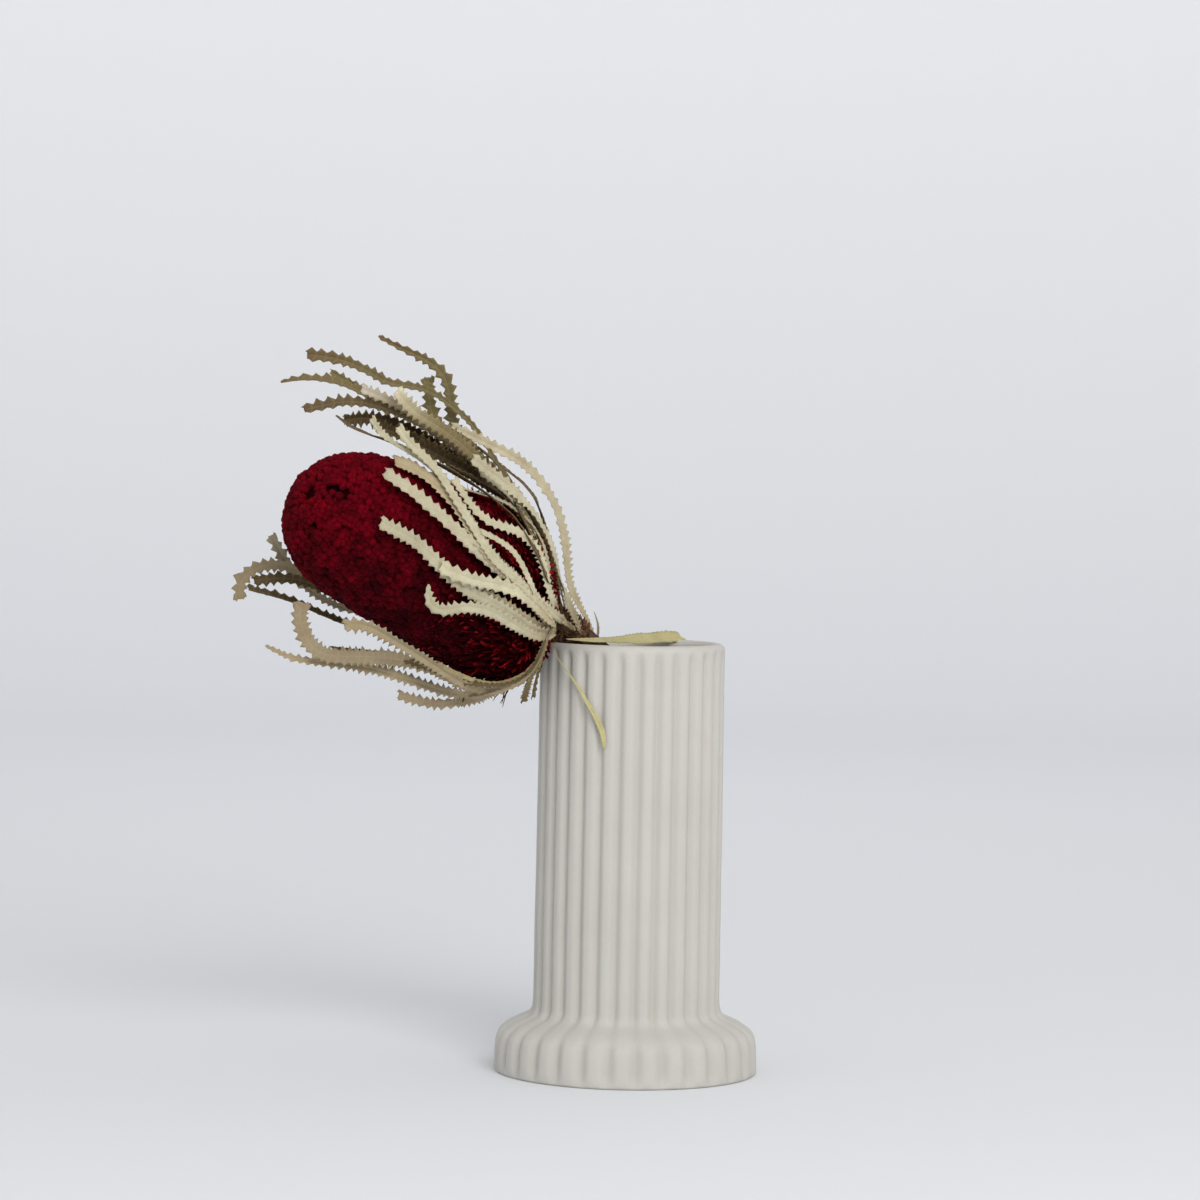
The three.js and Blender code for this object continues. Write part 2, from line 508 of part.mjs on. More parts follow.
    route: [
      [-38, 205], [-40.3, 200], [-42.8, 189], [-45, 181], [-46, 173.5]] },
  { name: 'hook', depth: [0, 2, 3, 4], lift: 0, width: 2.6, roll: [10, 10], side: 1,
    route: [
      [-17, 199], [-16.2, 205.5], [-16.8, 209.5], [-18.4, 213.8]] },
];

// More leaves stand behind the spike, at even turns round its far side. A turn of 0 is
// straight behind and 90 is on top.
const hiddenLeaves = { count: 5, firstTurn: 42, lastTurn: -24, width: 7.4, lift: 3 };

// The point at a distance in front of the plane, on the sight line through x and z.
function seen([x, z], forward) {
  const share = 1 - forward / -eye.y;
  return vector(eye.x + (x - eye.x) * share, -forward, eye.z + (z - eye.z) * share);
}

function routePoints({ route, depth }) {
  const flat = new THREE.CatmullRomCurve3(route.map(([x, z]) => vector(x, 0, z)), false, 'centripetal');
  const count = route.length * 2;
  return flat.getSpacedPoints(count).map((point, i) => {
    const place = (i / count) * (depth.length - 1);
    const before = Math.min(Math.floor(place), depth.length - 2);
    const forward = THREE.MathUtils.lerp(depth[before], depth[before + 1], place - before);
    return seen([point.x, point.z], forward);
  });
}

// Moves a point along its sight line until it is clear of the spike.
function clearOfHead(point, margin, side) {
  const step = eye.clone().sub(point).normalize().multiplyScalar(0.5 * side);
  const cleared = point.clone();
  for (let i = 0; i < 260 && headLevel(cleared, margin) < 1; i++) cleared.add(step);
  return cleared;
}

// Moves a point that hangs over the lip of the vase forward until it is clear of the shaft.
function clearOfVase(point, margin) {
  const step = eye.clone().sub(point).normalize().multiplyScalar(0.5);
  const cleared = point.clone();
  const isOverLip = () => {
    const radius = Math.hypot(cleared.x, cleared.y);
    return radius > mouthRadius - margin && radius < shaftRadius + margin
      && cleared.z < vaseHeight + margin;
  };
  while (isOverLip()) cleared.add(step);
  return cleared;
}

// Away from the middle line of the spike.
function awayFromHead(point) {
  const reach = head.length / 2 - head.radius;
  const offset = point.clone().sub(head.centre);
  const along = THREE.MathUtils.clamp(offset.dot(head.along), -reach, reach);
  return offset.addScaledVector(head.along, -along).normalize();
}

// A leaf's middle line: its points moved clear of what they pass, and eased so that it has
// no kinks.
function leafCurve(points, clear) {
  const eased = points.map(clear);
  for (let round = 0; round < 3; round++) {
    for (let i = 1; i + 1 < eased.length; i++) {
      eased[i].lerp(eased[i - 1].clone().add(eased[i + 1]).multiplyScalar(0.5), 0.4);
    }
  }
  return new THREE.CatmullRomCurve3(eased.map(clear), false, 'centripetal');
}

// Where a leaf's sections lie along it, with their half widths: a narrow stalk, and then one
// at the notch and one at the tip of each tooth.
function leafStations(length, width) {
  const half = width / 2;
  const petiole = Math.min(length * petioleShare, petioleLimit);
  const teeth = Math.max(2, Math.round((length - petiole) / toothPitch));
  const pitch = (length - petiole) / teeth;
  const stations = [[0, petioleHalfWidth], [petiole * 0.45, petioleHalfWidth]];
  for (let tooth = 0; tooth < teeth; tooth++) {
    const start = petiole + tooth * pitch;
    const growth = Math.min(1, 0.6 + 0.12 * tooth);
    stations.push([start, half * growth * (1 - notchDepth)]);
    stations.push([start + toothLean * pitch, half * growth]);
  }
  stations.push([length, half * 0.5]);
  return stations;
}

// A leaf's solid: three-sided sections, with a flat face and a keel under the midrib, turned
// to face the viewer or, on the spike, away from it.
function leafGeometry({ width, roll, points, clear, facesOut, hugsHead }) {
  const curve = leafCurve(points, clear);
  const length = curve.getLength();
  const frames = leafStations(length, width).map(([at, halfWidth]) => {
    const share = Math.min(1, at / length);
    return { share, halfWidth, centre: curve.getPointAt(share), along: curve.getTangentAt(share) };
  });
  let carried = null;
  for (const frame of frames.toReversed()) {
    const outward = awayFromHead(frame.centre);
    const wanted = facesOut ? outward.clone() : eye.clone().sub(frame.centre).normalize();
    if (hugsHead && headLevel(frame.centre, nearHead) < 1) wanted.multiplyScalar(0.5).add(outward);
    if (carried) wanted.addScaledVector(carried, 0.4);
    wanted.addScaledVector(frame.along, -wanted.dot(frame.along)).normalize();
    carried = wanted.clone();
    frame.normal = wanted;
  }
  const rings = frames.map(({ share, halfWidth, centre, along, normal }) => {
    const turn = radians(THREE.MathUtils.lerp(roll[0], roll[1], share));
    const face = normal.clone().applyAxisAngle(along, turn);
    const across = vector().crossVectors(along, face);
    const corner = (sideways, below) => centre.clone()
      .addScaledVector(across, sideways * halfWidth)
      .addScaledVector(face, keelDepth * (faceShare - below));
    return [corner(-1, 0), corner(1, 0), corner(0, 1)];
  });
  return skin(rings);
}

// The leaves behind the spike follow its surface from the base, and lift off towards the tip.
function hiddenLeafPoints(place) {
  const draw = seededDraw(40 + place);
  const { firstTurn, lastTurn, count } = hiddenLeaves;
  const turn = radians(firstTurn + ((lastTurn - firstTurn) * place) / (count - 1));
  const reach = 0.1 + 0.35 * draw();
  const lift = 5 + 4 * draw();
  const drift = radians(-6 + 12 * draw());
  const points = [vector(...stemRoute[1].slice(0, 3))];
  const steps = 9;
  for (let i = 0; i < steps; i++) {
    const share = -0.98 + ((0.98 + reach) * i) / (steps - 1);
    const height = 5 + lift * (i / (steps - 1)) ** 2;
    points.push(headPoint(share, turn + drift * (i / steps) ** 2, -height));
  }
  return new THREE.CatmullRomCurve3(points, false, 'centripetal').getSpacedPoints(steps * 3);
}

// ---- the stem with its leaves ------------------------------------------------------------

function stemSolid() {
  const curve = new THREE.CatmullRomCurve3(stemRoute.map(([x, y, z]) => vector(x, y, z)));
  const steps = 16;
  const sides = 10;
  const rings = [];
  for (let i = 0; i <= steps; i++) {
    const share = i / steps;
    const centre = curve.getPoint(share);
    const along = curve.getTangent(share);
    const across = vector().crossVectors(along, vector(0, 0, 1)).normalize();
    const down = vector().crossVectors(along, across);
    const place = share * (stemRoute.length - 1);
    const before = Math.min(Math.floor(place), stemRoute.length - 2);
    const radius = THREE.MathUtils.lerp(stemRoute[before][3], stemRoute[before + 1][3], place - before);
    const ring = [];
    for (let side = 0; side < sides; side++) {
      const angle = (2 * Math.PI * side) / sides;
      ring.push(centre.clone()
        .addScaledVector(across, radius * Math.cos(angle))
        .addScaledVector(down, radius * Math.sin(angle)));
    }
    rings.push(ring);
  }
  return solidOf(skin(rings));
}

function leafyStemGeometry() {
  let solid = stemSolid();
  for (const leaf of leaves) {
    const overLip = leaf.side > 0 ? lipClearance + leaf.lift : lipClearance;
    const clear = (point) => clearOfVase(
      clearOfHead(point, leafClearance + leaf.lift, leaf.side), overLip);
    const points = routePoints(leaf);
    solid = solid.add(solidOf(leafGeometry({ ...leaf, points, clear, hugsHead: true })));
  }
  for (let place = 0; place < hiddenLeaves.count; place++) {
    const points = hiddenLeafPoints(place);
    const clear = (point) => clearOfHead(point, leafClearance + hiddenLeaves.lift, -1);
    const leaf = {
      width: hiddenLeaves.width, roll: [0, 0], points, clear, facesOut: true, hugsHead: true };
    solid = solid.add(solidOf(leafGeometry(leaf)));
  }
  return geometryOf(largestBody(solid));
}

// ---- the two pale yellow leaves ----------------------------------------------------------

const yellowAcross = { width: 7, depth: [-9, -20, -30, -37], roll: [60, 64],
  route: [
    [-14, 203.4], [-8, 202.7], [-2, 202], [4, 202.4], [10, 203.1], [15, 203.6], [19, 203.6],
    [22, 203]] };
const yellowHanging = { width: 5.6, depth: [23.6, 34.8, 41.2, 43.4], roll: [-12, -4],
  route: [
    [-38, 199.5], [-36.5, 195], [-34, 190.3], [-31, 186.3], [-27.8, 182.3], [-24.8, 178],
    [-22.3, 174], [-20, 170], [-17.5, 166], [-15.2, 162], [-13.5, 158], [-12.6, 154],
    [-12.4, 149.6]] };

function yellowGeometry(leaf) {
  const clear = (point) => point.clone();
  return geometryOf(solidOf(leafGeometry({ ...leaf, points: routePoints(leaf), clear })));
}

// ---- the assembled object ----------------------------------------------------------------

const finishes = {
  ceramic: new THREE.MeshStandardMaterial({ color: 0xdedad3, roughness: 0.82, metalness: 0 }),
  crimson: new THREE.MeshStandardMaterial({ color: 0x6b0518, roughness: 0.95, metalness: 0 }),
  driedLeaf: new THREE.MeshStandardMaterial({ color: 0xb3a57c, roughness: 0.88, metalness: 0 }),
  yellowLeaf: new THREE.MeshStandardMaterial({ color: 0xd5c87f, roughness: 0.85, metalness: 0 }),
};

function piece(name, geometry, material) {
  const mesh = new THREE.Mesh(geometry, material);
  mesh.name = name;
  return mesh;
}

const group = new THREE.Group();
group.add(
  piece('vase', vaseGeometry(), finishes.ceramic),
  piece('flower_head', spikeGeometry(), finishes.crimson),
  piece('leafy_stem', leafyStemGeometry(), finishes.driedLeaf),
  piece('yellow_leaf_across', yellowGeometry(yellowAcross), finishes.yellowLeaf),
  piece('yellow_leaf_hanging', yellowGeometry(yellowHanging), finishes.yellowLeaf),
);

export default group;
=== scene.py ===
# A dried banksia flower leaning out of a fluted vase. Shapes are worked out in millimetres in
# the CAD frame, and each finished mesh is brought to metres.
import math
import random

import bmesh
import bpy
from mathutils import Matrix, Vector, noise


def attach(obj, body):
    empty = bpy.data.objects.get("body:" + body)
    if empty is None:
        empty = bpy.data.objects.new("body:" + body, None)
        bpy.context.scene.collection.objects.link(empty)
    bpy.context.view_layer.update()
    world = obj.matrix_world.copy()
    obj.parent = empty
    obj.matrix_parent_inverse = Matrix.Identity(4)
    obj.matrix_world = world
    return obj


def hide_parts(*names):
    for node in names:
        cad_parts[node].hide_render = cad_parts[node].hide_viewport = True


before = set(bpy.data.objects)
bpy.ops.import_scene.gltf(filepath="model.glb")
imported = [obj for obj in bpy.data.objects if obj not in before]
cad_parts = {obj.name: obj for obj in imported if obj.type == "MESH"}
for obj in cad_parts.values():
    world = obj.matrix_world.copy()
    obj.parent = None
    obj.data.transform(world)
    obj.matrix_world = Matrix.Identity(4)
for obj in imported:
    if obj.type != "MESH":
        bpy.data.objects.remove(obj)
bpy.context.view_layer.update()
mm = 0.001
print("frame loaded:", ", ".join(sorted(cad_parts)))


# helpers for materials

def paint(colour):
    # a screen colour, 0 to 255, as the linear colour and alpha that a socket takes
    return (*(c / 3294.6 if c < 10.3 else ((c / 255 + 0.055) / 1.055) ** 2.4 for c in colour), 1)


def newMaterial(name, colour, roughness):
    material = bpy.data.materials.new(name)
    material.use_nodes = True
    tree = material.node_tree
    shader = tree.nodes["Principled BSDF"]
    shader.inputs["Base Color"].default_value = paint(colour)
    shader.inputs["Roughness"].default_value = roughness
    shader.inputs["Specular IOR Level"].default_value = 0.3
    return material, shader, tree


def addNode(tree, kind, inputs=None, **settings):
    node = tree.nodes.new(kind)
    for key, value in settings.items():
        setattr(node, key, value)
    for key, value in (inputs or {}).items():
        if hasattr(value, "is_output"):
            tree.links.new(value, node.inputs[key])
        else:
            node.inputs[key].default_value = value
    return node


def addMath(tree, operation, *values, **settings):
    inputs = dict(enumerate(values))
    return addNode(tree, "ShaderNodeMath", inputs, operation=operation, **settings).outputs[0]


def addRange(tree, value, low, high, top=1.0):
    # 0 at low, rising to top at high
    inputs = {"Value": value, "From Min": low, "From Max": high, "To Max": top}
    return addNode(tree, "ShaderNodeMapRange", inputs).outputs["Result"]


def readAttribute(tree, name, output="Fac"):
    return addNode(tree, "ShaderNodeAttribute", attribute_name=name).outputs[output]


def mixColours(tree, factor, first, second):
    # sockets 0, 6 and 7 are a colour mix's factor and its two colours, and output 2 its colour
    return addNode(tree, "ShaderNodeMix", {0: factor, 6: first, 7: second}, data_type="RGBA").outputs[2]


def addRamp(tree, fac, colours):
    # colours holds the one at 0, any others with their places, and the one at 1
    ramp = addNode(tree, "ShaderNodeValToRGB", {"Fac": fac})
    first, last = ramp.color_ramp.elements
    first.color = paint(colours[0])
    last.color = paint(colours[-1])
    for colour, place in colours[1:-1]:
        ramp.color_ramp.elements.new(place).color = paint(colour)
    return ramp.outputs["Color"]


def addBump(tree, shader, height, strength, distance):
    bump = addNode(tree, "ShaderNodeBump", {"Height": height, "Strength": strength, "Distance": distance})
    tree.links.new(bump.outputs["Normal"], shader.inputs["Normal"])


def makeMottleGroup():
    # a colour with soft patches and a fine grain of a second colour, and a height for bump
    tree = bpy.data.node_groups.new("mottle", "ShaderNodeTree")
    for label, kind, value in (
            ("Colour", "Color", (0.5, 0.5, 0.5, 1)), ("Patch Colour", "Color", (0.3, 0.3, 0.3, 1)),
            ("Patch Scale", "Float", 60.0), ("Grain Scale", "Float", 900.0),
            ("Patches", "Float", 0.3), ("Grain", "Float", 0.2)):
        socket = tree.interface.new_socket(label, in_out="INPUT", socket_type="NodeSocket" + kind)
        socket.default_value = value
    for label, kind in (("Colour", "Color"), ("Height", "Float")):
        tree.interface.new_socket(label, in_out="OUTPUT", socket_type="NodeSocket" + kind)
    given, result = tree.nodes.new("NodeGroupInput").outputs, tree.nodes.new("NodeGroupOutput").inputs
    place = addNode(tree, "ShaderNodeTexCoord").outputs["Object"]
    patches = addNode(tree, "ShaderNodeTexNoise", {
        "Vector": place, "Scale": given["Patch Scale"], "Detail": 5.0, "Roughness": 0.6})
    grain = addNode(tree, "ShaderNodeTexNoise", {
        "Vector": place, "Scale": given["Grain Scale"], "Detail": 3.0, "Roughness": 0.7})
    patchMask = addRange(tree, patches.outputs["Fac"], 0.38, 0.68)
    grainMask = addRange(tree, grain.outputs["Fac"], 0.42, 0.72)
    patchPart = addMath(tree, "MULTIPLY", patchMask, given["Patches"])
    grainPart = addMath(tree, "MULTIPLY", grainMask, given["Grain"])
    both = addMath(tree, "ADD", patchPart, grainPart, use_clamp=True)
    tree.links.new(mixColours(tree, both, given["Colour"], given["Patch Colour"]), result["Colour"])
    tree.links.new(grain.outputs["Fac"], result["Height"])
    return tree


def addMottle(tree, colour, patchColour, patchScale, grainScale, patches, grain):
    # the group in a material, with scales in repeats per metre and the two shares of patch colour
    return addNode(tree, "ShaderNodeGroup", {
        "Colour": colour, "Patch Colour": paint(patchColour), "Patch Scale": patchScale,
        "Grain Scale": grainScale, "Patches": patches, "Grain": grain}, node_tree=mottle).outputs


# helpers for shapes

def newObject(name, data):
    thing = bpy.data.objects.new(name, data)
    bpy.context.scene.collection.objects.link(thing)
    return thing


def newMesh(bm, name):
    for face in bm.faces:
        face.smooth = True
    mesh = bpy.data.meshes.new(name)
    bm.to_mesh(mesh)
    bm.free()
    return mesh


def finishPiece(bm, name, material, nodes):
    bmesh.ops.scale(bm, vec=(mm, mm, mm), verts=bm.verts[:])
    mesh = newMesh(bm, name)
    mesh.materials.append(material)
    piece = newObject(name, mesh)
    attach(piece, "root")
    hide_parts(*nodes)
    mesh.calc_loop_triangles()
    print(f"{name}: {len(mesh.loop_triangles)} triangles")


def spinOutline(outline, steps, mergeWithin):
    # radii and heights, turned once round the upright axis
    bm = bmesh.new()
    line = [bm.verts.new((radius, 0, z)) for radius, z in outline]
    edges = [bm.edges.new(pair) for pair in zip(line, line[1:])]
    bmesh.ops.spin(bm, geom=line + edges, cent=(0, 0, 0), axis=(0, 0, 1), dvec=(0, 0, 0), angle=math.tau,
                   steps=steps, use_merge=True, use_duplicate=False)
    bmesh.ops.remove_doubles(bm, verts=bm.verts[:], dist=mergeWithin)
    bmesh.ops.recalc_face_normals(bm, faces=bm.faces[:])
    return bm


def limited(value, low=0, high=1):
    return min(high, max(low, value))


def eitherWay(draw, most):
    return draw.uniform(-most, most)


def smoothLine(points, perSpan=10):
    # short straight steps along a centripetal curve through the points
    points = [Vector(p) for p in points]
    points = [points[0] * 2 - points[1], *points, points[-1] * 2 - points[-2]]
    line = []
    for a, b, c, d in zip(points, points[1:], points[2:], points[3:]):
        tb = max((b - a).length, 1e-6) ** 0.5
        tc = tb + max((c - b).length, 1e-6) ** 0.5
        td = tc + max((d - c).length, 1e-6) ** 0.5
        for step in range(perSpan):
            t = tb + (tc - tb) * step / perSpan
            ab = a.lerp(b, t / tb)
            bc = b.lerp(c, (t - tb) / (tc - tb))
            cd = c.lerp(d, (t - tc) / (td - tc))
            line.append(ab.lerp(bc, t / tc).lerp(bc.lerp(cd, (t - tb) / (td - tb)), (t - tb) / (tc - tb)))
    line.append(points[-2])
    return line


def lineLengths(line):
    lengths = [0.0]
    for a, b in zip(line, line[1:]):
        lengths.append(lengths[-1] + (b - a).length)
    return lengths


def alongLine(line, distances):
    # the point and the direction at each distance from the line's start, in rising order
    lengths = lineLengths(line)
    found = []
    i = 0
    for distance in distances:
        distance = min(max(distance, 0), lengths[-1])
        while i < len(line) - 2 and lengths[i + 1] < distance:
            i += 1
        span = max(lengths[i + 1] - lengths[i], 1e-9)
        share = (distance - lengths[i]) / span
        before = line[max(i - 1, 0)]
        after = line[min(i + 2, len(line) - 1)]
        found.append((line[i].lerp(line[i + 1], share), (after - before).normalized()))
    return found


def evenly(line, count):
    # points and directions at the ends of count even steps along a line
    length = lineLengths(line)[-1]
    return alongLine(line, [length * i / count for i in range(count + 1)])


def between(table, at):
    # a value read from a table of (place, value) steps
    for (low, first), (high, last) in zip(table, table[1:]):
        if at <= high:
            return first + (last - first) * max(0, at - low) / (high - low)
    return table[-1][1]


def newToned():
    # an empty shape whose vertices have a tone, which the materials read
    bm = bmesh.new()
    return bm, bm.verts.layers.float.new("tone")


def finishCopies(name, copies, material, nodes):
    # copies pairs small template meshes with the matrix and tone of each of their copies
    bm = newToned()[0]
    for template, places in copies:
        tones = [t.value for t in template.attributes["tone"].data]
        for matrix, shade in places:
            copy = template.copy()
            copy.transform(matrix)
            copy.attributes["tone"].data.foreach_set("value", [shade * t for t in tones])
            bm.from_mesh(copy)
            bpy.data.meshes.remove(copy)
    print(name, sum(len(places) for template, places in copies), "copies")
    finishPiece(bm, name, material, nodes)


def strandTemplate(name, bend, tipTone, steps=4):
    # a three-sided hair, 1 long and 1 wide at its root, that curves towards +X
    rootTone, tipWidth = 0.6, 0.35
    bm, tone = newToned()
    ring = bmesh.ops.create_circle(bm, segments=3, radius=0.5, cap_ends=True)["verts"]
    edges = bm.edges[:]
    for vert in ring:
        vert[tone] = rootTone
    for step in range(1, steps + 1):
        share = step / steps
        made = bmesh.ops.extrude_edge_only(bm, edges=edges)["geom"]
        ring = [g for g in made if isinstance(g, bmesh.types.BMVert)]
        edges = [g for g in made if isinstance(g, bmesh.types.BMEdge)]
        middle = sum((v.co for v in ring), Vector()) / 3
        width = 1 - (1 - tipWidth) * share
        before = 1 - (1 - tipWidth) * (step - 1) / steps
        for vert in ring:
            offset = (vert.co - middle) * width / before
            vert.co = Vector((bend * share ** 2, 0, share)) + Vector((offset.x, offset.y, 0))
            vert[tone] = rootTone + (tipTone - rootTone) * share
    bmesh.ops.contextual_create(bm, geom=edges)
    bmesh.ops.recalc_face_normals(bm, faces=bm.faces[:])
    return newMesh(bm, name)


def standing(point, upward, leaning, length, width, bend=1):
    # a matrix that stands a template at a point along upward and bends it towards leaning
    side = upward.cross(leaning)
    if side.length < 1e-4:
        side = upward.orthogonal()
    side.normalize()
    forward = side.cross(upward).normalized()
    turn = Matrix((forward, side, upward)).transposed().to_4x4()
    matrix = Matrix.Translation(point) @ turn @ Matrix.Diagonal((width, width, length, 1))
    return matrix @ Matrix.Diagonal((bend, 1, 1, 1))


# camera, light and floor

# place, lens and sensor in millimetres, turns in degrees, and how far it sees in metres
view = {"eye": (-15.7, -1903.4, 288.9), "pitchDown": 2.0956, "roll": 1.0664, "lens": 123, "sensor": 36,
        "reach": 30}
eye = Vector(view["eye"])

# in metres and watts, with colours of paper from 0 to 255
studio = {
    "sky": (0.985, 0.99, 1.0), "skyStrength": 0.63,
    "lamps": (  # name, place, point that it faces, size, watts, colour
        ("keyLamp", (0.66, -2.0, 1.3), (-0.04, 0, 0.18), 1.3, 30, (1.0, 0.99, 0.97)),
        ("wallLamp", (0, 0.9, 1.9), (0, 3.1, 0.7), 0.8, 5.8, (1.0, 1.0, 1.0)),
    ),
    "wall": (250, 250, 252), "floor": (231, 233, 236),
    "floorRadius": 2.3, "sweepRadius": 0.8, "sweepSteps": 12, "wallHeight": 1.5,
}


def addCamera():
    data = bpy.data.cameras.new("camera")
    data.lens = view["lens"]
    data.sensor_width = view["sensor"]
    data.clip_end = view["reach"]
    camera = newObject("camera", data)
    camera.matrix_world = (
        Matrix.Translation(eye * mm)
        @ Matrix.Rotation(math.radians(90 - view["pitchDown"]), 4, "X")
        @ Matrix.Rotation(math.radians(view["roll"]), 4, "Z"))
    bpy.context.scene.camera = camera


def addLamp(name, place, aim, size, watts, colour):
    data = bpy.data.lights.new(name, "AREA")
    data.shape = "DISK"
    data.size = size
    data.energy = watts
    data.color = colour
    lamp = newObject(name, data)
    lamp.location = place
    lamp.rotation_euler = (Vector(aim) - Vector(place)).to_track_quat("-Z", "Y").to_euler()


def addStudio():
    world = bpy.data.worlds.new("studioSky")
    world.use_nodes = True
    sky = world.node_tree.nodes["Background"]
    sky.inputs["Color"].default_value = (*studio["sky"], 1)
    sky.inputs["Strength"].default_value = studio["skyStrength"]
    bpy.context.scene.world = world
    bpy.context.scene.view_settings.view_transform = "Standard"
    for lamp in studio["lamps"]:
        addLamp(*lamp)

    # a round floor that sweeps up into a wall on all sides
    radius, sweep = studio["floorRadius"], studio["sweepRadius"]
    outline = [(0, 0), (radius, 0)]
    for i in range(1, studio["sweepSteps"] + 1):
        angle = math.radians(90 * i / studio["sweepSteps"])
        outline.append((radius + sweep * math.sin(angle), sweep * (1 - math.cos(angle))))
    outline.append((radius + sweep, sweep + studio["wallHeight"]))
    bm = spinOutline(outline, steps=96, mergeWithin=1e-5)
    bmesh.ops.reverse_faces(bm, faces=bm.faces[:])
    mesh = newMesh(bm, "studioFloor")
    floor = newObject("studioFloor", mesh)
    material, shader, tree = newMaterial("studioPaper", studio["floor"], roughness=0.9)
    place = addNode(tree, "ShaderNodeTexCoord")
    height = addNode(tree, "ShaderNodeSeparateXYZ", {"Vector": place.outputs["Object"]})
    # one paper, painted lighter up the sweep into the wall than on the floor, as painted light on the
    # backdrop
    onWall = addRange(tree, height.outputs["Z"], 0.0, sweep)
    paper = mixColours(tree, onWall, paint(studio["floor"]), paint(studio["wall"]))
    tree.links.new(paper, shader.inputs["Base Color"])
    mesh.materials.append(material)
    print("camera, lamps and floor placed")


# the vase, in millimetres and degrees
vase = {
    "height": 200, "shaft": 43, "mouth": 36, "lip": 3.5, "lipSteps": 12, "steps": 360,
    "flutes": 30, "firstGroove": 4, "sharpness": 2.2, "shaftDepth": 1.9, "shoulderDepth": 1.2,
    "footDepth": 2.1, "fluteTop": 198, "fluteFade": 5, "shoulder": (19, 30), "innerEdge": 40.5,
    "uneven": 0.16,
    "outline": (  # radius and height, from the middle of the underside up to the shaft
        (0, 0), (30, 0), (50, 0), (59.6, 0), (60.7, 0.25), (61.2, 1.3), (61.2, 4), (61.1, 7), (61, 11),
        (60.7, 14), (60.4, 15.4), (60.1, 16.8), (59.4, 18.2), (58.3, 19.6), (56.6, 21), (54.5, 22.4),
        (51.6, 23.8), (48.3, 25.2), (45.6, 26.6), (44.6, 28), (44, 29.4), (43.7, 31), (43.5, 34),
        (43.45, 40)),
    "inside": (  # down from the lip to the middle of the hollow's floor
        (36, 180), (36, 150), (36, 110), (36, 70), (36, 40), (36, 16), (35.2, 12), (32, 9.6), (28, 9),
        (14, 9), (0, 9)),
    # the groove colour below is a painted shade for the bottoms of the flutes
    "glaze": (200, 197, 190), "glazePatch": (184, 180, 171), "paintedGrooveShade": (168, 161, 152), "paintedGrooveShadeShare": 0.22,
}


def makeCeramic():
    material, shader, tree = newMaterial("matteCeramic", vase["glaze"], roughness=0.7)
    body = addMottle(tree, paint(vase["glaze"]), vase["glazePatch"], patchScale=26.0, grainScale=1500.0,
                     patches=0.28, grain=0.3)
    # the bottoms of the grooves are painted darker, as painted shade in the flutes' hollows
    paintedGrooveShade = addMath(tree, "MULTIPLY", readAttribute(tree, "groove"), vase["paintedGrooveShadeShare"])
    tree.links.new(mixColours(tree, paintedGrooveShade, body["Colour"], paint(vase["paintedGrooveShade"])), shader.inputs["Base Color"])
    addBump(tree, shader, body["Height"], strength=0.18, distance=0.0004)
    return material


def grooveDepth(z):
    # full on the shaft, another depth on the shoulder and on the foot, fading out below the lip
    low, high = vase["shoulder"]
    if z > high:
        return vase["shaftDepth"] * limited((vase["fluteTop"] - z) / vase["fluteFade"])
    blend = limited((z - low + 1.5) / 3)
    lower = vase["footDepth"] * (1 - blend) + vase["shoulderDepth"] * blend
    blend = limited((z - high + 3) / 3)
    return lower * (1 - blend) + vase["shaftDepth"] * blend


def addVase(material):
    shaft, lip = vase["shaft"], vase["lip"]
    foot, footTop = vase["outline"][-1]
    outline = list(vase["outline"])
    outline += [(foot - (foot - shaft) * (z - footTop) / 150, z) for z in range(46, 188, 6)]
    outline += [(shaft, z) for z in (188, 190, 192, 194, 195.5)]
    for i in range(vase["lipSteps"] + 1):
        angle = math.pi * i / vase["lipSteps"]
        outline.append((vase["mouth"] + lip + lip * math.cos(angle),
                        vase["height"] - lip + lip * math.sin(angle)))
    outline += vase["inside"]
    bm = spinOutline(outline, vase["steps"], mergeWithin=1e-4)
    groove = bm.verts.layers.float.new("groove")
    for vert in bm.verts:
        x, y, z = vert.co
        radius = math.hypot(x, y)
        if radius < vase["innerEdge"] or z > vase["fluteTop"]:
            continue
        fromFront = math.atan2(x, -y) - math.radians(vase["firstGroove"])
        wave = (0.5 + 0.5 * math.cos(vase["flutes"] * fromFront)) ** vase["sharpness"]
        uneven = vase["uneven"] * noise.noise(vert.co * 0.035) * min(1, (vase["height"] - z) / 20)
        depth = grooveDepth(z) * limited((z - 0.6) / 4)
        scale = (radius - depth * wave + uneven) / radius
        vert.co.x, vert.co.y = x * scale, y * scale
        vert[groove] = wave * depth / vase["footDepth"]
    finishPiece(bm, "vaseBody", material, ["vase"])


# the flower spike: a blunt body of revolution with a slanted base, in millimetres and degrees
head = {
    "centre": Vector((-99.7, -42, 239.6)), "length": 132.5, "radius": 36.7, "rise": 27.2,
    "towardsFront": 24, "widerAtBase": 0.113, "tipExponent": 4.3, "baseExponent": 6, "baseSlant": 0.387,
    "coreSunk": 3.4, "corePaintedShade": 0.05, "seed": 5,
}
rise, forwards = math.radians(head["rise"]), math.radians(head["towardsFront"])
head["along"] = Vector((-math.cos(rise) * math.cos(forwards), -math.sin(forwards),
                        math.sin(rise) * math.cos(forwards)))
head["across"] = head["along"].cross(Vector((0, 0, 1))).normalized()
head["up"] = head["across"].cross(head["along"])


def headRadius(share):
    return head["radius"] * (1 - head["widerAtBase"] * share)


def headExponent(share):
    return head["baseExponent"] if share < 0 else head["tipExponent"]


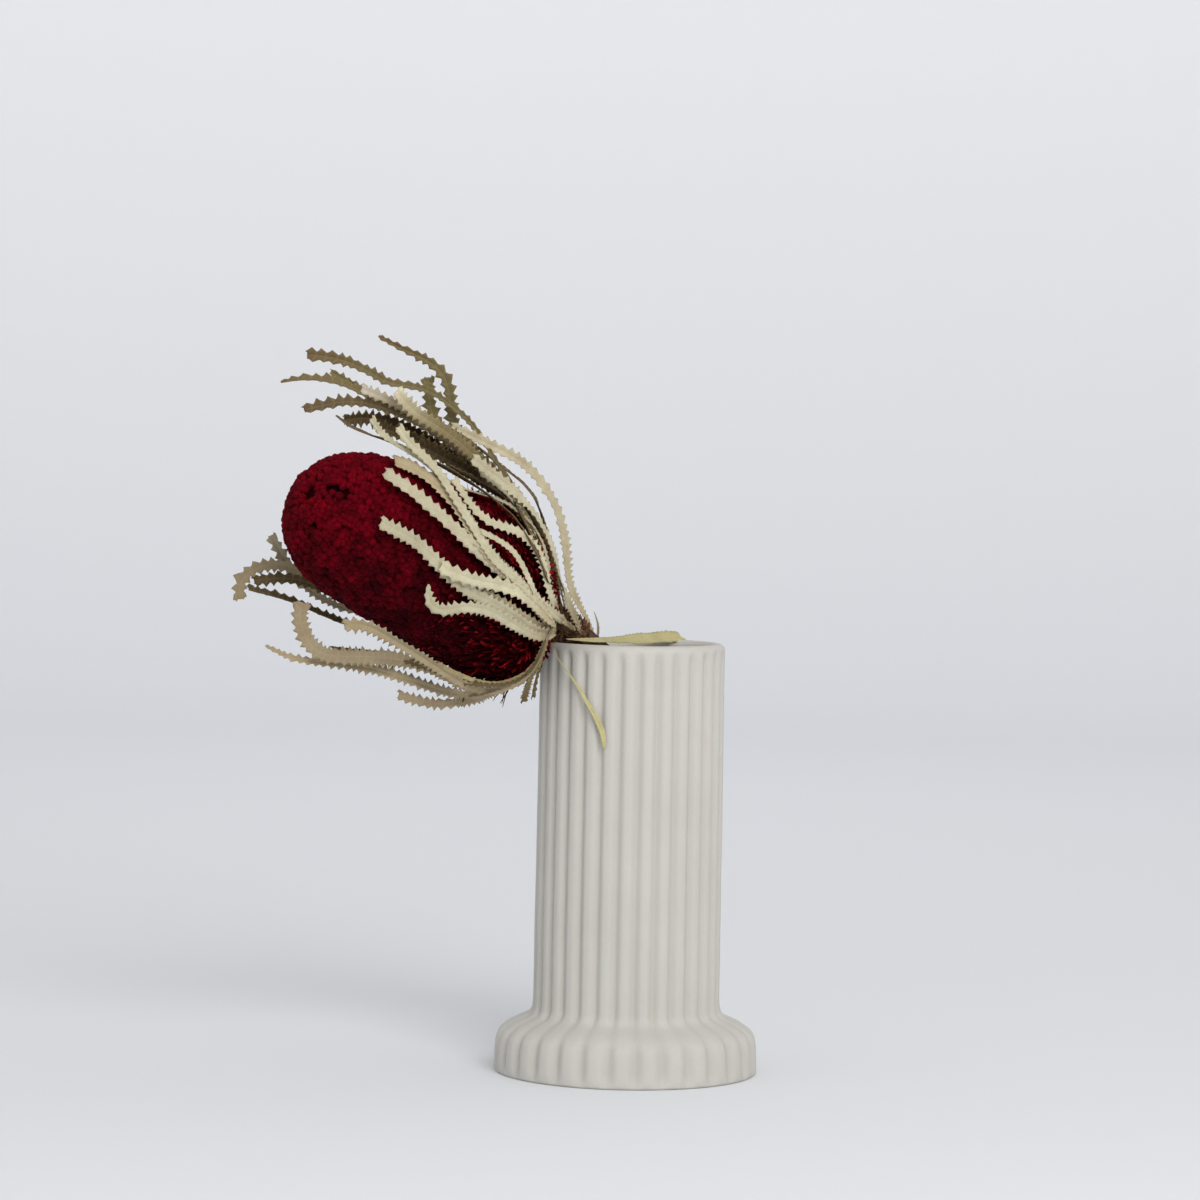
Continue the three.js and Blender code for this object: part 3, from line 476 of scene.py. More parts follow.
def headPoint(share, turn, sunk):
    # share runs from -1 at the base to 1 at the tip, turn is in radians, 90 degrees on top, and
    # sunk is how far the point lies below the surface
    profile = math.sqrt(max(0, 1 - abs(share) ** headExponent(share)))
    radius = profile * (headRadius(share) - sunk)
    slant = head["baseSlant"] * radius * math.sin(turn) * max(0, -share)
    return (head["centre"] + head["along"] * (share * (head["length"] / 2 - sunk) + slant)
            + head["across"] * radius * math.cos(turn) + head["up"] * radius * math.sin(turn))


def headNormal(share, turn):
    shareStep, turnStep = 0.004, 0.01
    lengthways = (headPoint(min(1, share + shareStep), turn, 0)
                  - headPoint(max(-1, share - shareStep), turn, 0))
    crossways = headPoint(share, turn + turnStep, 0) - headPoint(share, turn - turnStep, 0)
    normal = lengthways.cross(crossways)
    if normal.length < 1e-7:
        return head["along"] * (1 if share > 0 else -1)
    normal.normalize()
    outwards = headPoint(share, turn, 0) - headPoint(share * 0.8, turn, 20)
    return normal if normal.dot(outwards) > 0 else -normal


def headLevel(point, margin):
    # below 1 inside the spike grown by a margin, above 1 outside it
    offset = point - head["centre"]
    up = offset.dot(head["up"])
    half = head["length"] / 2 + margin
    towardsBase = max(0, -offset.dot(head["along"]) / half)
    share = (offset.dot(head["along"]) - head["baseSlant"] * up * towardsBase) / half
    radius = math.hypot(offset.dot(head["across"]), up) / (headRadius(share) + margin)
    return abs(share) ** headExponent(share) + radius ** 2


def headRows(pitch):
    # shares at an even pitch along the spike's outline
    fine = 600
    shares = [-math.cos(math.pi * i / fine) for i in range(fine + 1)]
    lengths = lineLengths([headPoint(share, 0, 0) for share in shares])
    count = round(lengths[-1] / pitch)
    rows = []
    for row in range(count + 1):
        wanted = lengths[-1] * row / count
        rows.append(shares[next((i for i, length in enumerate(lengths) if length >= wanted), fine)])
    return rows


def onNearSide(turn):
    return math.sin(turn) * 0.25 - math.cos(turn) > 0


# Short round florets on the upper two thirds. They begin at a share of the spike and are dense
# after a stretch. Sizes are in millimetres, pairs are the least and the most, jitters are shares
# of the pitch, and the second colour has its place on the ramp.
florets = {
    "pitch": 2.3, "jitterRound": 0.22, "jitterAlong": 0.2, "start": -0.5, "stretch": 0.25,
    "width": (1.7, 2.4), "length": (1.5, 2.2), "sunk": 1.9, "highest": 0.8, "lean": 0.35,
    "towardsTip": 0.2, "pitDepth": 1.5, "clusterLift": 0.9, "fineLift": 0.5, "chanceLift": 0.15,
    "rootTone": 0.72,
    # the cluster and fine terms darken florets that sit low, as painted shade in the crevices; the top term
    # lightens florets that face up, as painted light from above; the tip term darkens the base end, partly
    # older florets and partly painted shade; the chance term is their own random tone
    "shade": 0.46, "clusterPaintedShade": 0.4, "finePaintedShade": 0.3, "chanceShade": 0.08, "ageAndPaintedShadeAlong": 0.3,
    "paintedLightOnTop": 0.24, "darkest": 0.1,
    "colours": ((26, 0, 4), ((92, 0, 13), 0.55), (128, 0, 22)), "sheen": (170, 8, 30),
    "hollows": (  # between the clusters: share, turn in degrees, radius
        (0.955, 131, 2.2), (0.9, 158, 2.4), (0.86, 162, 2.6), (0.805, 163, 2.8), (0.98, 155, 2.2),
        (0.97, 173, 2.6), (0.965, 187, 2.0), (0.88, 216, 1.8), (0.745, 196, 1.8), (0.54, 213, 1.6)),
}

# thin curved styles on the lower third, where the florets have opened: they lie along the spike,
# and stand out round its base
styles = {
    "pitch": 1.6, "start": -0.12, "stretch": 0.34, "base": -0.78, "baseStretch": 0.12,
    "bends": (0.15, 0.35, 0.6), "bendScale": 8, "tipTone": 1.5, "length": (4.5, 8), "width": (0.35, 0.6),
    "sunk": (2.6, 3.8), "brightest": 0.95, "baseDimming": 0.45, "paintedLightOnRight": 0.12,
    "colours": ((20, 0, 3), ((98, 2, 12), 0.55), (200, 34, 44)),
}

# a fringe of stiff hairs round the base
fringe = {
    "count": 3600, "shares": (-0.995, -0.86), "sunk": 4, "length": (3.5, 8.5), "width": (0.22, 0.42),
    "tone": (0.3, 1), "colours": ((52, 6, 10), ((112, 22, 24), 0.55), (156, 96, 66)),
}


def makeFloretMaterial(name, colours):
    # the tone attribute runs from 0, deep between the florets, to 1 on their brightest tips; the dark
    # end is painted shade and the bright end partly painted light
    deep, full = colours[0], colours[1][0]
    material, shader, tree = newMaterial(name, full, roughness=0.85)
    ramp = addRamp(tree, readAttribute(tree, "tone"), colours)
    body = addMottle(tree, ramp, deep, patchScale=120.0, grainScale=1100.0, patches=0.3, grain=0.6)
    tree.links.new(body["Colour"], shader.inputs["Base Color"])
    shader.inputs["Sheen Weight"].default_value = 0.06
    shader.inputs["Sheen Roughness"].default_value = 0.5
    shader.inputs["Sheen Tint"].default_value = paint(florets["sheen"])
    shader.inputs["Specular IOR Level"].default_value = 0.05
    addBump(tree, shader, body["Height"], strength=0.9, distance=0.0009)
    return material


def floretSpots(pitch, draw):
    # staggered rows of places all over the spike, each a little off its even place
    halfLength = 66  # about half the spike
    spots = []
    hollows = [(headPoint(share, math.radians(turn), 0), size) for share, turn, size in florets["hollows"]]
    for row, share in enumerate(headRows(pitch)):
        girth = math.tau * (headPoint(share, 0, 0) - headPoint(share, math.pi, 0)).length / 2
        count = max(1, round(girth / pitch))
        for column in range(count):
            turn = math.tau * (column + (row % 2) / 2 + eitherWay(draw, florets["jitterRound"])) / count
            place = limited(share + eitherWay(draw, florets["jitterAlong"]) * pitch / halfLength, -1)
            point = headPoint(place, turn, 0)
            if all((point - middle).length > size for middle, size in hollows):
                spots.append((place, turn, point))
    return spots


def floretTemplate():
    # a bobble: narrow at its root, round on top, its tone rising to the tip, as painted shade at its root
    bm, tone = newToned()
    bmesh.ops.create_uvsphere(bm, u_segments=6, v_segments=5, radius=1)
    for vert in bm.verts:
        height = vert.co.z
        if height < 0:
            vert.co.x *= 1 + 0.3 * height
            vert.co.y *= 1 + 0.3 * height
        vert[tone] = florets["rootTone"] + (1 - florets["rootTone"]) * limited((height + 0.3) / 1.3)
    return newMesh(bm, "floret")


def addCore(material):
    bm, tone = newToned()
    bmesh.ops.create_uvsphere(bm, u_segments=96, v_segments=64, radius=1)
    for vert in bm.verts:
        vert.co = headPoint(limited(vert.co.z, -1), math.atan2(vert.co.y, vert.co.x), head["coreSunk"])
        # the core is painted almost the deepest colour, as painted shade seen through the gaps between the
        # florets
        vert[tone] = head["corePaintedShade"]
    bmesh.ops.recalc_face_normals(bm, faces=bm.faces[:])
    finishPiece(bm, "spikeCore", material, ["flower_head"])


def addFlorets(material, draw):
    template = floretTemplate()
    places = {"floretsNear": [], "floretsFar": []}
    for share, turn, point in floretSpots(florets["pitch"], draw):
        if draw.random() > limited((share - florets["start"]) / florets["stretch"]):
            continue
        normal = headNormal(share, turn)
        cluster = noise.noise(point * 0.14)
        fine = noise.noise(point * 0.5 + Vector((7, 3, 1)))
        lift = (florets["clusterLift"] * cluster + florets["fineLift"] * fine
                + eitherWay(draw, florets["chanceLift"]))
        if noise.noise(point * 0.34 + Vector((3, 1, 8))) > 0.36 - 0.12 * share:
            lift -= florets["pitDepth"]
        anyWay = Vector([eitherWay(draw, 1) for axis in range(3)])
        lean = (normal + anyWay * florets["lean"] + head["along"] * florets["towardsTip"]).normalized()
        width = draw.uniform(*florets["width"])
        length = draw.uniform(*florets["length"])
        sunk = florets["sunk"]
        middle = point - normal * sunk + normal * limited(lift, -sunk, florets["highest"])
        # painted shade where a floret sits low, painted light where it faces up, and darker towards the base,
        # partly by age and partly as painted shade
        shade = (florets["shade"] + florets["clusterPaintedShade"] * cluster + florets["finePaintedShade"] * fine
                 + eitherWay(draw, florets["chanceShade"]) + florets["ageAndPaintedShadeAlong"] * share
                 + florets["paintedLightOnTop"] * normal.z)
        places["floretsNear" if onNearSide(turn) else "floretsFar"].append(
            (standing(middle, lean, head["along"], length, width), limited(shade, florets["darkest"])))
    for name, some in places.items():
        finishCopies(name, [(template, some)], material, ["flower_head"])
    bpy.data.meshes.remove(template)


def addStyles(material, templates, draw):
    groups = {"stylesNear": [[], [], []], "stylesFar": [[], [], []]}
    for share, turn, point in floretSpots(styles["pitch"], draw):
        if draw.random() > limited((styles["start"] - share) / styles["stretch"]):
            continue
        normal = headNormal(share, turn)
        sideways = normal.cross(head["along"]).normalized()
        atBase = limited((styles["base"] - share) / styles["baseStretch"])
        lean = (normal * (draw.uniform(0.2, 0.55) + 0.2 * atBase)
                + head["along"] * (draw.uniform(0.3, 1) * (1 - atBase) - draw.uniform(0.1, 0.9) * atBase)
                + sideways * eitherWay(draw, 0.35)).normalized()
        curl = (normal * draw.uniform(-0.7, 0.3) + sideways * eitherWay(draw, 0.8)).normalized()
        length = draw.uniform(*styles["length"])
        root = point - normal * draw.uniform(*styles["sunk"])
        # most are dark and a few are bright
        shade = (0.1 + 0.95 * draw.random() ** 2.1) * (0.85 + 0.5 * noise.noise(point * 0.12))
        # darker towards the base, and lighter where a style faces right, as painted light from the lamp's
        # side
        shade = (min(shade, styles["brightest"] - styles["baseDimming"] * atBase)
                 + styles["paintedLightOnRight"] * max(0, normal.x))
        matrix = standing(root, lean, curl, length, draw.uniform(*styles["width"]), styles["bendScale"])
        group = groups["stylesNear" if onNearSide(turn) else "stylesFar"]
        group[draw.randrange(3)].append((matrix, shade))
    for name, lists in groups.items():
        finishCopies(name, list(zip(templates, lists)), material, ["flower_head"])


def addFringe(material, template, draw):
    hairs = []
    for i in range(fringe["count"]):
        turn = draw.uniform(0, math.tau)
        share = draw.uniform(*fringe["shares"])
        back = (headNormal(share, turn) * 0.6 - head["along"] * draw.uniform(0.3, 1)).normalized()
        root = headPoint(share, turn, fringe["sunk"])
        length = draw.uniform(*fringe["length"])
        matrix = standing(root, back, head["along"], length, draw.uniform(*fringe["width"]))
        hairs.append((matrix, draw.uniform(*fringe["tone"])))
    finishCopies("baseFringe", [(template, hairs)], material, ["flower_head"])


def addHead(floretMaterial, styleMaterial, fringeMaterial):
    draw = random.Random(head["seed"])
    addCore(floretMaterial)
    addFlorets(floretMaterial, draw)
    templates = [strandTemplate(f"style{i}", bend, styles["tipTone"])
                 for i, bend in enumerate(styles["bends"])]
    addStyles(styleMaterial, templates, draw)
    addFringe(fringeMaterial, templates[0], draw)
    for mesh in templates:
        bpy.data.meshes.remove(mesh)


# Each row below is one leaf: name, look, depths, lift, width, roll, side and route, from the
# stem to the tip. The route's x and z are where the sight line from the eye crosses the upright
# plane through the vase's axis. The depths say how far in front of that plane the leaf lies, evenly
# spaced along it, and lift adds to its clearance from the spike. Roll turns the blade about its
# length away from the viewer, in degrees at the root and at the tip. Side 1 passes in front of the
# spike and -1 behind it. The routes were read from the photo, in millimetres.
leafRows = {
    "leavesAcrossFront": (  # across the front of the spike
        ("frontUpper", "cream", (16, 58, 60, 60), 3, 7.8, (0, 0), 1, (
            (-36, 207.5), (-40, 213), (-45, 218.8), (-50.5, 223.8), (-56, 228.4), (-61.5, 232.4),
            (-67, 236.6), (-72, 241), (-77, 245.6), (-81.3, 249.6), (-87.5, 255), (-95.5, 262),
            (-102.5, 267.5), (-109.5, 272.3), (-116.5, 276.7))),
        ("frontLong", "cream", (10, 60, 64, 64), 4.4, 8, (0, 0), 1, (
            (-27, 205.2), (-31, 208), (-36, 211.8), (-41.5, 216.2), (-46.5, 220.8), (-51.5, 225.4),
            (-56.5, 229.8), (-61, 233.6), (-65.5, 238), (-69.5, 243.4), (-73.4, 249.7), (-78, 256.7),
            (-82.7, 263.8), (-87.3, 271), (-92.3, 278), (-97.5, 283.8), (-102.5, 288.3), (-107, 292.6),
            (-110.5, 298))),
        ("frontSmooth", "cream", (18, 58, 60, 60), 4.6, 3, (20, 20), 1, (
            (-36, 208.5), (-40, 212.5), (-44, 218), (-47.2, 224), (-50, 230.3), (-53, 236.5), (-56.5, 241),
            (-61, 244.8), (-66, 247.5), (-71.5, 249.6))),
        ("frontArched", "cream", (15, 48, 56, 58), 1.6, 6.6, (10, 0), 1, (
            (-34, 211), (-38.5, 220), (-41, 229), (-42.6, 236), (-45.4, 242.4), (-49.7, 247.3),
            (-54.5, 250.4), (-60, 252.2), (-65.5, 253.2), (-71, 256.4), (-75.7, 261.2), (-80, 267),
            (-84.5, 274))),
        ("frontUnder", "tan", (16, 60, 60, 60), 1.6, 7.4, (60, 5), 1, (
            (-36, 208), (-43.5, 213), (-51, 222.5), (-59, 231), (-66, 237), (-70, 241.5), (-73, 246.3),
            (-76.8, 252.3), (-80.5, 258.3), (-85, 264.3), (-90, 269.5), (-95.5, 274), (-101.5, 277.8),
            (-107, 280.6), (-112, 281.8))),
        ("frontMiddle", "cream", (18, 58, 60, 60), 2.2, 8, (0, 0), 1, (
            (-36, 204.5), (-40.5, 203), (-44, 203.8), (-48.5, 206.2), (-53, 209.2), (-58, 212.8),
            (-64, 216.2), (-70, 219), (-75.5, 222), (-80.5, 225.4), (-85.5, 229.5), (-90, 233.7),
            (-94, 238), (-98, 242), (-102.5, 245.7), (-107.5, 248.5), (-112.5, 250.8), (-118, 253.6))),
        ("frontBroad", "cream", (18, 60, 66, 72), 4.6, 8.4, (0, 0), 1, (
            (-36, 206.5), (-38.5, 208.5), (-41.5, 212), (-45.4, 216.2), (-49, 219.6), (-52.9, 222.2),
            (-57.5, 224.2), (-62.3, 225.5), (-67, 226.3), (-71.6, 227.1), (-76.3, 228.1), (-80.9, 229.5),
            (-85.5, 231.4), (-89.8, 233.8))),
        ("frontTan", "tan", (22, 58, 60, 60), 0.4, 6.5, (5, 0), 1, (
            (-37, 204.5), (-44, 206.3), (-52, 211.2), (-60, 216.8), (-68, 220.8), (-75, 224), (-82, 227.8),
            (-88.5, 232))),
        ("frontLow", "cream", (18, 58, 64, 76), 3.4, 7, (0, 0), 1, (
            (-36, 203), (-40, 201), (-43.5, 201.4), (-47.5, 203), (-52.6, 205.6), (-58.3, 208.9),
            (-64.3, 212.2), (-70, 214.4), (-75.5, 215.1), (-81, 214.7), (-86.5, 213.6), (-91.3, 213.4),
            (-94.4, 215.8), (-95.6, 220), (-95.4, 225))),
    ),
    "leavesArching": (  # the bundle that arches over the spike
        ("archOuter", "pale", (0, 4, 10, 22), 0, 5.6, (50, 20), 1, (
            (-17.5, 198.5), (-19, 205), (-21.5, 210), (-24.8, 215), (-28, 221), (-30.5, 227), (-31.6, 233),
            (-32, 239), (-32.6, 246), (-34, 253), (-36.3, 260), (-39.5, 266.5), (-43.5, 272.7), (-48, 278),
            (-53.5, 282.7), (-59.5, 286.2), (-66, 289.3), (-72.5, 292.2), (-79, 295.3), (-86, 298.5))),
        ("archBroad", "cream", (12, 32, 40, 44), 0, 8, (20, 10), 1, (
            (-24, 203), (-28, 213), (-31.8, 220.5), (-34.3, 228), (-36.3, 236), (-38.5, 243.5),
            (-41.5, 250.5), (-45.5, 257), (-50.5, 263), (-56, 268.6), (-62.5, 273.8), (-69, 278.6),
            (-76, 283.8))),
        ("archInner", "pale", (12, 30, 38, 47), 0.8, 6.4, (40, 25), 1, (
            (-35, 210), (-38.3, 222), (-40, 232), (-41.3, 240.5), (-43.7, 247.4), (-48, 254),
            (-53.2, 258.9), (-58.5, 262.4), (-64.5, 265.2), (-70.5, 267), (-76.5, 268.6), (-82.5, 270.4),
            (-88.5, 273.4), (-94.5, 277))),
        ("archEdge", "dark", (8, 14, 22, 30), 0, 4.6, (75, 75), 1, (
            (-31, 209), (-36.3, 226), (-38.3, 236), (-40.3, 246), (-42.8, 256), (-46.3, 265.5),
            (-50.5, 271.7), (-56.5, 276.2), (-63.5, 281), (-71.5, 287.3), (-80, 293.3), (-87, 297.5),
            (-93.5, 301))),
        ("archThin", "dark", (10, 22, 25, 28), 0, 4.4, (70, 75), 1, (
            (-33, 210), (-38.8, 238), (-44.8, 252.5), (-51, 262.7), (-57, 272), (-61.8, 279), (-67, 284.3),
            (-73.5, 289.3))),
        ("archPale", "cream", (12, 10, 26, 36), 0, 7, (10, 15), 1, (
            (-34, 210), (-39.8, 234), (-46.8, 250.3), (-55.5, 262.8), (-64, 271.5), (-72, 278.5))),
        ("archShade", "dark", (12, 26, 31, 36), 0, 7, (40, 50), 1, (
            (-35, 210), (-40, 232), (-46, 248.5), (-54, 259.3), (-62, 266.7), (-70, 271.5), (-78, 275.5),
            (-87, 280))),
    ),
    "leavesFanned": (  # tips that fan out above
        ("topStraight", "olive", (2, -24, -20, 8), 0, 6.6, (10, 5), -1, (
            (-30, 206), (-34, 224), (-38, 238), (-44, 252), (-54, 266), (-65, 278), (-76.5, 288),
            (-83.5, 295), (-86.5, 302), (-86.9, 309), (-87.2, 316), (-88.9, 321.7), (-92.4, 326),
            (-97.5, 329.2), (-103, 331.8), (-108, 333.4), (-113.5, 335.8), (-120.5, 339.7))),
        ("topOlive", "olive", (3, -20, -10, 32), 0, 7, (20, 12), -1, (
            (-32, 207), (-36, 226), (-40, 240), (-48, 256), (-58, 272), (-66, 284), (-71.5, 292.7),
            (-75.3, 298.3), (-80, 303.3), (-86, 308), (-92, 312.3), (-98, 315.6), (-104, 317.2),
            (-110, 317), (-116, 317.7), (-121, 320.7), (-126, 324), (-132, 326.7), (-139, 328.9),
            (-146, 330.1), (-153.5, 330.4))),
        ("topBlunt", "moss", (4, -22, -24, -14), 0, 7, (10, 0), -1, (
            (-32, 207), (-38, 226), (-44, 244), (-54, 262), (-66, 277), (-78, 287.5), (-88, 294),
            (-93.5, 299), (-96.2, 305), (-97, 311), (-97.2, 316), (-97.2, 321))),
        ("topFar", "olive", (6, -8, 32, 58), 0, 7, (30, 36), 1, (
            (-33, 207), (-38, 228), (-43, 246), (-52, 262), (-64, 275), (-78, 286), (-90, 293),
            (-100, 298.5), (-108, 303), (-115, 306.8), (-121, 309.7), (-126, 312.2), (-131, 315),
            (-137, 317.7), (-144, 319.2), (-152, 319.5), (-159, 319.3), (-165.5, 317.4))),
        ("topShort", "moss", (7, -1, 24, 44), 0, 5, (20, 10), 1, (
            (-33, 208), (-42, 244), (-64, 274), (-88, 293), (-100, 299.7), (-112, 306.8), (-122, 311.8),
            (-130, 315.8), (-135, 318.5), (-138.5, 321), (-142.5, 322.7))),
        ("topBrown", "umber", (8, 14, 42, 66), 1.2, 7.2, (30, 20), 1, (
            (-34, 206), (-39, 226), (-46.5, 244), (-58.1, 266.2), (-68.9, 277.1), (-80.1, 286.3),
            (-90.3, 293.8), (-99.9, 299.7), (-108.4, 303.4), (-115.8, 306), (-123.2, 308),
            (-134.5, 309.8), (-140, 308.8), (-146, 307), (-154.5, 304.8))),
        ("topDarkHigh", "dark", (5, -12, 14, 38), 0, 8, (-10, -15), 1, (
            (-34, 207), (-39, 230), (-47, 250), (-60, 266), (-74, 277.5), (-87, 286.5), (-97, 292.5),
            (-106, 297.3), (-114, 300.7), (-122, 302.4), (-129, 302.4), (-136, 300.6))),
        ("topDarkMiddle", "dark", (8, 2, 20, 37), 0, 8, (0, 5), 1, (
            (-35, 206), (-40, 230), (-48, 248), (-60, 262.7), (-74, 274.5), (-88, 284), (-98, 290),
            (-106, 293.8), (-113, 296.2), (-121, 297.3))),
        ("topDarkLow", "dark", (9, 4, 16, 31), 0.6, 7, (0, 10), 1, (
            (-35, 207), (-42, 232), (-52, 252.5), (-64, 266.7), (-76, 276.3), (-86, 282.5), (-94, 286.3),
            (-101.5, 289.5))),
        ("topCurl", "umber", (10, 24, 48, 68), 2, 4.8, (45, 42), 1, (
            (-34, 206), (-43, 236), (-51, 250.5), (-62, 262.5), (-76, 272), (-90, 280), (-103, 286),
            (-112, 290), (-120, 293), (-127, 294.8), (-132, 296.3), (-136, 298.6), (-139.8, 302.5))),
        ("topCream", "cream", (16, 56, 58, 64), 1.2, 6.6, (10, 5), 1, (
            (-38, 204.5), (-46, 215.5), (-55, 225.5), (-62, 233.5), (-67.5, 241), (-73.5, 250.5),
            (-80.5, 261), (-88, 272), (-95, 279), (-101, 283.7), (-107, 287), (-113, 290.3), (-118, 293.8),
            (-121.3, 297.3), (-123.3, 301.5))),
        ("topPale", "paleTip", (8, 2, 32, 60), 0, 6.6, (10, 0), 1, (
            (-33, 208), (-40, 236), (-50, 256), (-64, 272.3), (-80, 285.8), (-94, 296.3), (-104, 303.7),
            (-111, 308.7), (-117, 311.5), (-122.5, 313.2), (-128, 315.2))),
        ("topPaleBroad", "creamTip", (8, 4, 38, 62), 0, 8.2, (15, 5), 1, (
            (-32, 207), (-40, 238), (-52, 260), (-66, 276.3), (-78, 287.7), (-88, 296), (-95, 300.4),
            (-101, 303.2), (-106, 306.4), (-109.5, 310), (-111.7, 314.3))),
    ),
    "leavesLeft": (  # below and to the left of the spike
        ("leftDarkHigh", "dark", (8, -6, 6, 22), 0.6, 7, (20, 20), -1, (
            (-38, 206), (-44, 199), (-54, 195), (-68, 194), (-88, 199), (-108, 206), (-126, 213.3),
            (-138, 218.7), (-146, 222.3), (-153, 225), (-160, 226.4), (-168, 226.2), (-176.5, 224.6))),
        ("leftDarkLow", "dark", (10, 6, 16, 27), 2.4, 6.6, (50, 50), -1, (
            (-38, 205), (-43.5, 196), (-54, 191), (-72, 190), (-92, 195), (-112, 201.3), (-128, 206.7),
            (-136, 209.5), (-143, 212.2), (-150, 215.2), (-157, 218.4), (-164, 220.8), (-171, 222.4),
            (-179, 224.1))),
        ("leftRaised", "grey", (6, -10, 2, 16), 2.4, 6.2, (40, 5), -1, (
            (-39, 207), (-46, 202), (-58, 200), (-76, 202), (-98, 206.5), (-118, 210), (-134, 212.7),
            (-143, 216.3), (-150, 220.6), (-155, 225), (-159.5, 230.3), (-163, 235.5), (-165.8, 240.6),
            (-168.8, 246.5))),
        ("leftDrooping", "khaki", (7, -4, 10, 26), 4.6, 7.2, (10, 0), -1, (
            (-38, 207), (-45, 201), (-58, 197), (-80, 199), (-104, 207), (-126, 216.5), (-142, 224),
            (-153, 229.3), (-160, 232.4), (-167, 233.7), (-174, 232.7), (-180, 229.8), (-184.3, 225.6),
            (-185.2, 221), (-182.8, 216.6))),
        ("lowFront", "sand", (13, 34, 58, 73), 2.4, 7, (20, 0), 1, (
            (-37.5, 206), (-39.8, 201.8), (-42, 194), (-44.5, 187.7), (-48.5, 182.8), (-54.5, 179.3),
            (-61.5, 177.2), (-68.5, 176.5), (-75, 177.7), (-81, 180.7), (-87, 184.3), (-93.3, 188.5),
            (-100, 192.6), (-106, 196.2), (-112, 199.7), (-118, 203), (-124, 205.4), (-129, 206.1),
            (-134.3, 205))),
        ("lowThin", "lime", (13, 32, 42, 54), 0.6, 4, (50, 60), 1, (
            (-38, 204.5), (-40.5, 201), (-43, 194.5), (-46, 188.3), (-50.5, 183.8), (-56.5, 180.7),
            (-63.5, 179.2), (-70.5, 179.7), (-77.5, 182), (-84.5, 184.8), (-90.5, 188.3))),
        ("lowLong", "sand", (12, 28, 46, 59), 3.6, 9.4, (20, 0), 1, (
            (-37.7, 205.5), (-39.9, 201.7), (-42, 194), (-44.8, 187.4), (-49, 182.4), (-55, 178.9),
            (-62, 176.9), (-69, 176.2), (-75.5, 177.3), (-82, 180.2), (-88, 183.5), (-95, 186.7),
            (-103, 189), (-111, 190.3), (-120, 190.6), (-129, 190.7), (-138, 190.8), (-145, 191.8),
            (-149.6, 195.2), (-152.5, 200), (-154.8, 205.5), (-155.6, 210.5), (-153.7, 215.5))),
        ("lowToothed", "sand", (11, 24, 38, 53), 0, 7, (20, 5), 1, (
            (-37.5, 205), (-39.8, 201.5), (-42, 194), (-44.8, 187.2), (-49.3, 182), (-55.5, 178.4),
            (-62.5, 176.2), (-69, 174.9), (-76, 173.9), (-82, 174.4), (-90, 175.9), (-98, 178.6),
            (-106, 181.3), (-114, 183.6), (-122, 185.5), (-130, 186.9), (-138, 187.6), (-146, 188),
            (-153, 188.7), (-159, 189.7), (-164, 191.8), (-170.7, 195.2))),
        ("lowDark", "dark", (10, 22, 36, 49), 4.8, 5, (50, 70), 1, (
            (-38.5, 206), (-41, 200), (-43, 193.5), (-46, 187.4), (-51, 182.2), (-58, 179), (-66, 178.2),
            (-80, 180.5), (-96, 186.7), (-110, 191.4), (-122, 193), (-130, 193.8), (-139.5, 194.4))),
        ("lowestCurl", "sand", (9, 20, 22, 29), 6, 6.4, (30, 0), 1, (
            (-37.5, 204.5), (-39.8, 200.5), (-42.1, 193.5), (-45, 186.8), (-49.8, 181.6), (-56.3, 177.8),
            (-63.5, 175), (-70, 172.9), (-77, 171), (-84, 170), (-90, 169.5), (-96, 169.9), (-102, 171.5),
            (-108.5, 173.4))),
    ),
    "leafStubs": (  # short stubs below the spike's base and beside the stem
        ("stubLeft", "olive", (12, 24, 24, 25), 3, 4.4, (20, 10), 1, (
            (-38.5, 205), (-40.8, 200), (-43.8, 191), (-46.8, 184.5), (-48.9, 178), (-50.3, 171.5))),
        ("stubRight", "olive", (12, 22, 20, 20), 0.6, 3.4, (20, 10), 1, (
            (-38, 205), (-40.3, 200), (-42.8, 189), (-45, 181), (-46, 173.5))),
        ("hook", "khaki", (0, 2, 3, 4), 0, 1.3, (10, 10), 1, (
            (-17, 199), (-16.2, 205.5), (-16.8, 209.5), (-18.4, 213.8))),
    ),
}

# Sizes are in millimetres, twist in degrees, and pairs are the least and the most. Taper and stalk
# are shares of the leaf's length, widths, notch, stalkWidth and taperEnd shares of its half width,
# and sidesApart a share of a tooth. A blade under narrow has its pitches scaled by narrowPitch.
leafShape = {
    "teeth": ((0, 0), (0.32, 0.46), (0.64, 1), (0.8, 0.36)),  # place in a tooth, height
    "columns": (-1, -0.5, -0.14, 0, 0.14, 0.5, 1),
    "widths": ((0, 0.2), (0.04, 0.4), (0.1, 0.6), (0.2, 0.8), (0.35, 0.94), (0.5, 1), (1, 0.97)),
    "firstPitch": 2.1, "lastPitch": 3.5, "narrow": 5, "narrowPitch": 0.85, "pitchSpread": (0.72, 1.28),
    "notch": 0.54, "toothSpread": (0.6, 1.3), "lowerTeeth": 1, "sidesApart": (0.3, 0.6),
    "endHeight": 0.55, "taper": 0, "taperEnd": 0.34, "stalk": 0, "stalkWidth": 0.3, "slim": 1,
    "thickness": 0.55, "edge": 0.2, "fold": 0.08, "wave": 0.45, "midribDepth": 0.16, "raised": 0.3,
    "twist": 16, "brightness": (0.95, 1.05),
    "clearance": 1.8, "nearHead": 9, "lipClearance": 3.6,
}

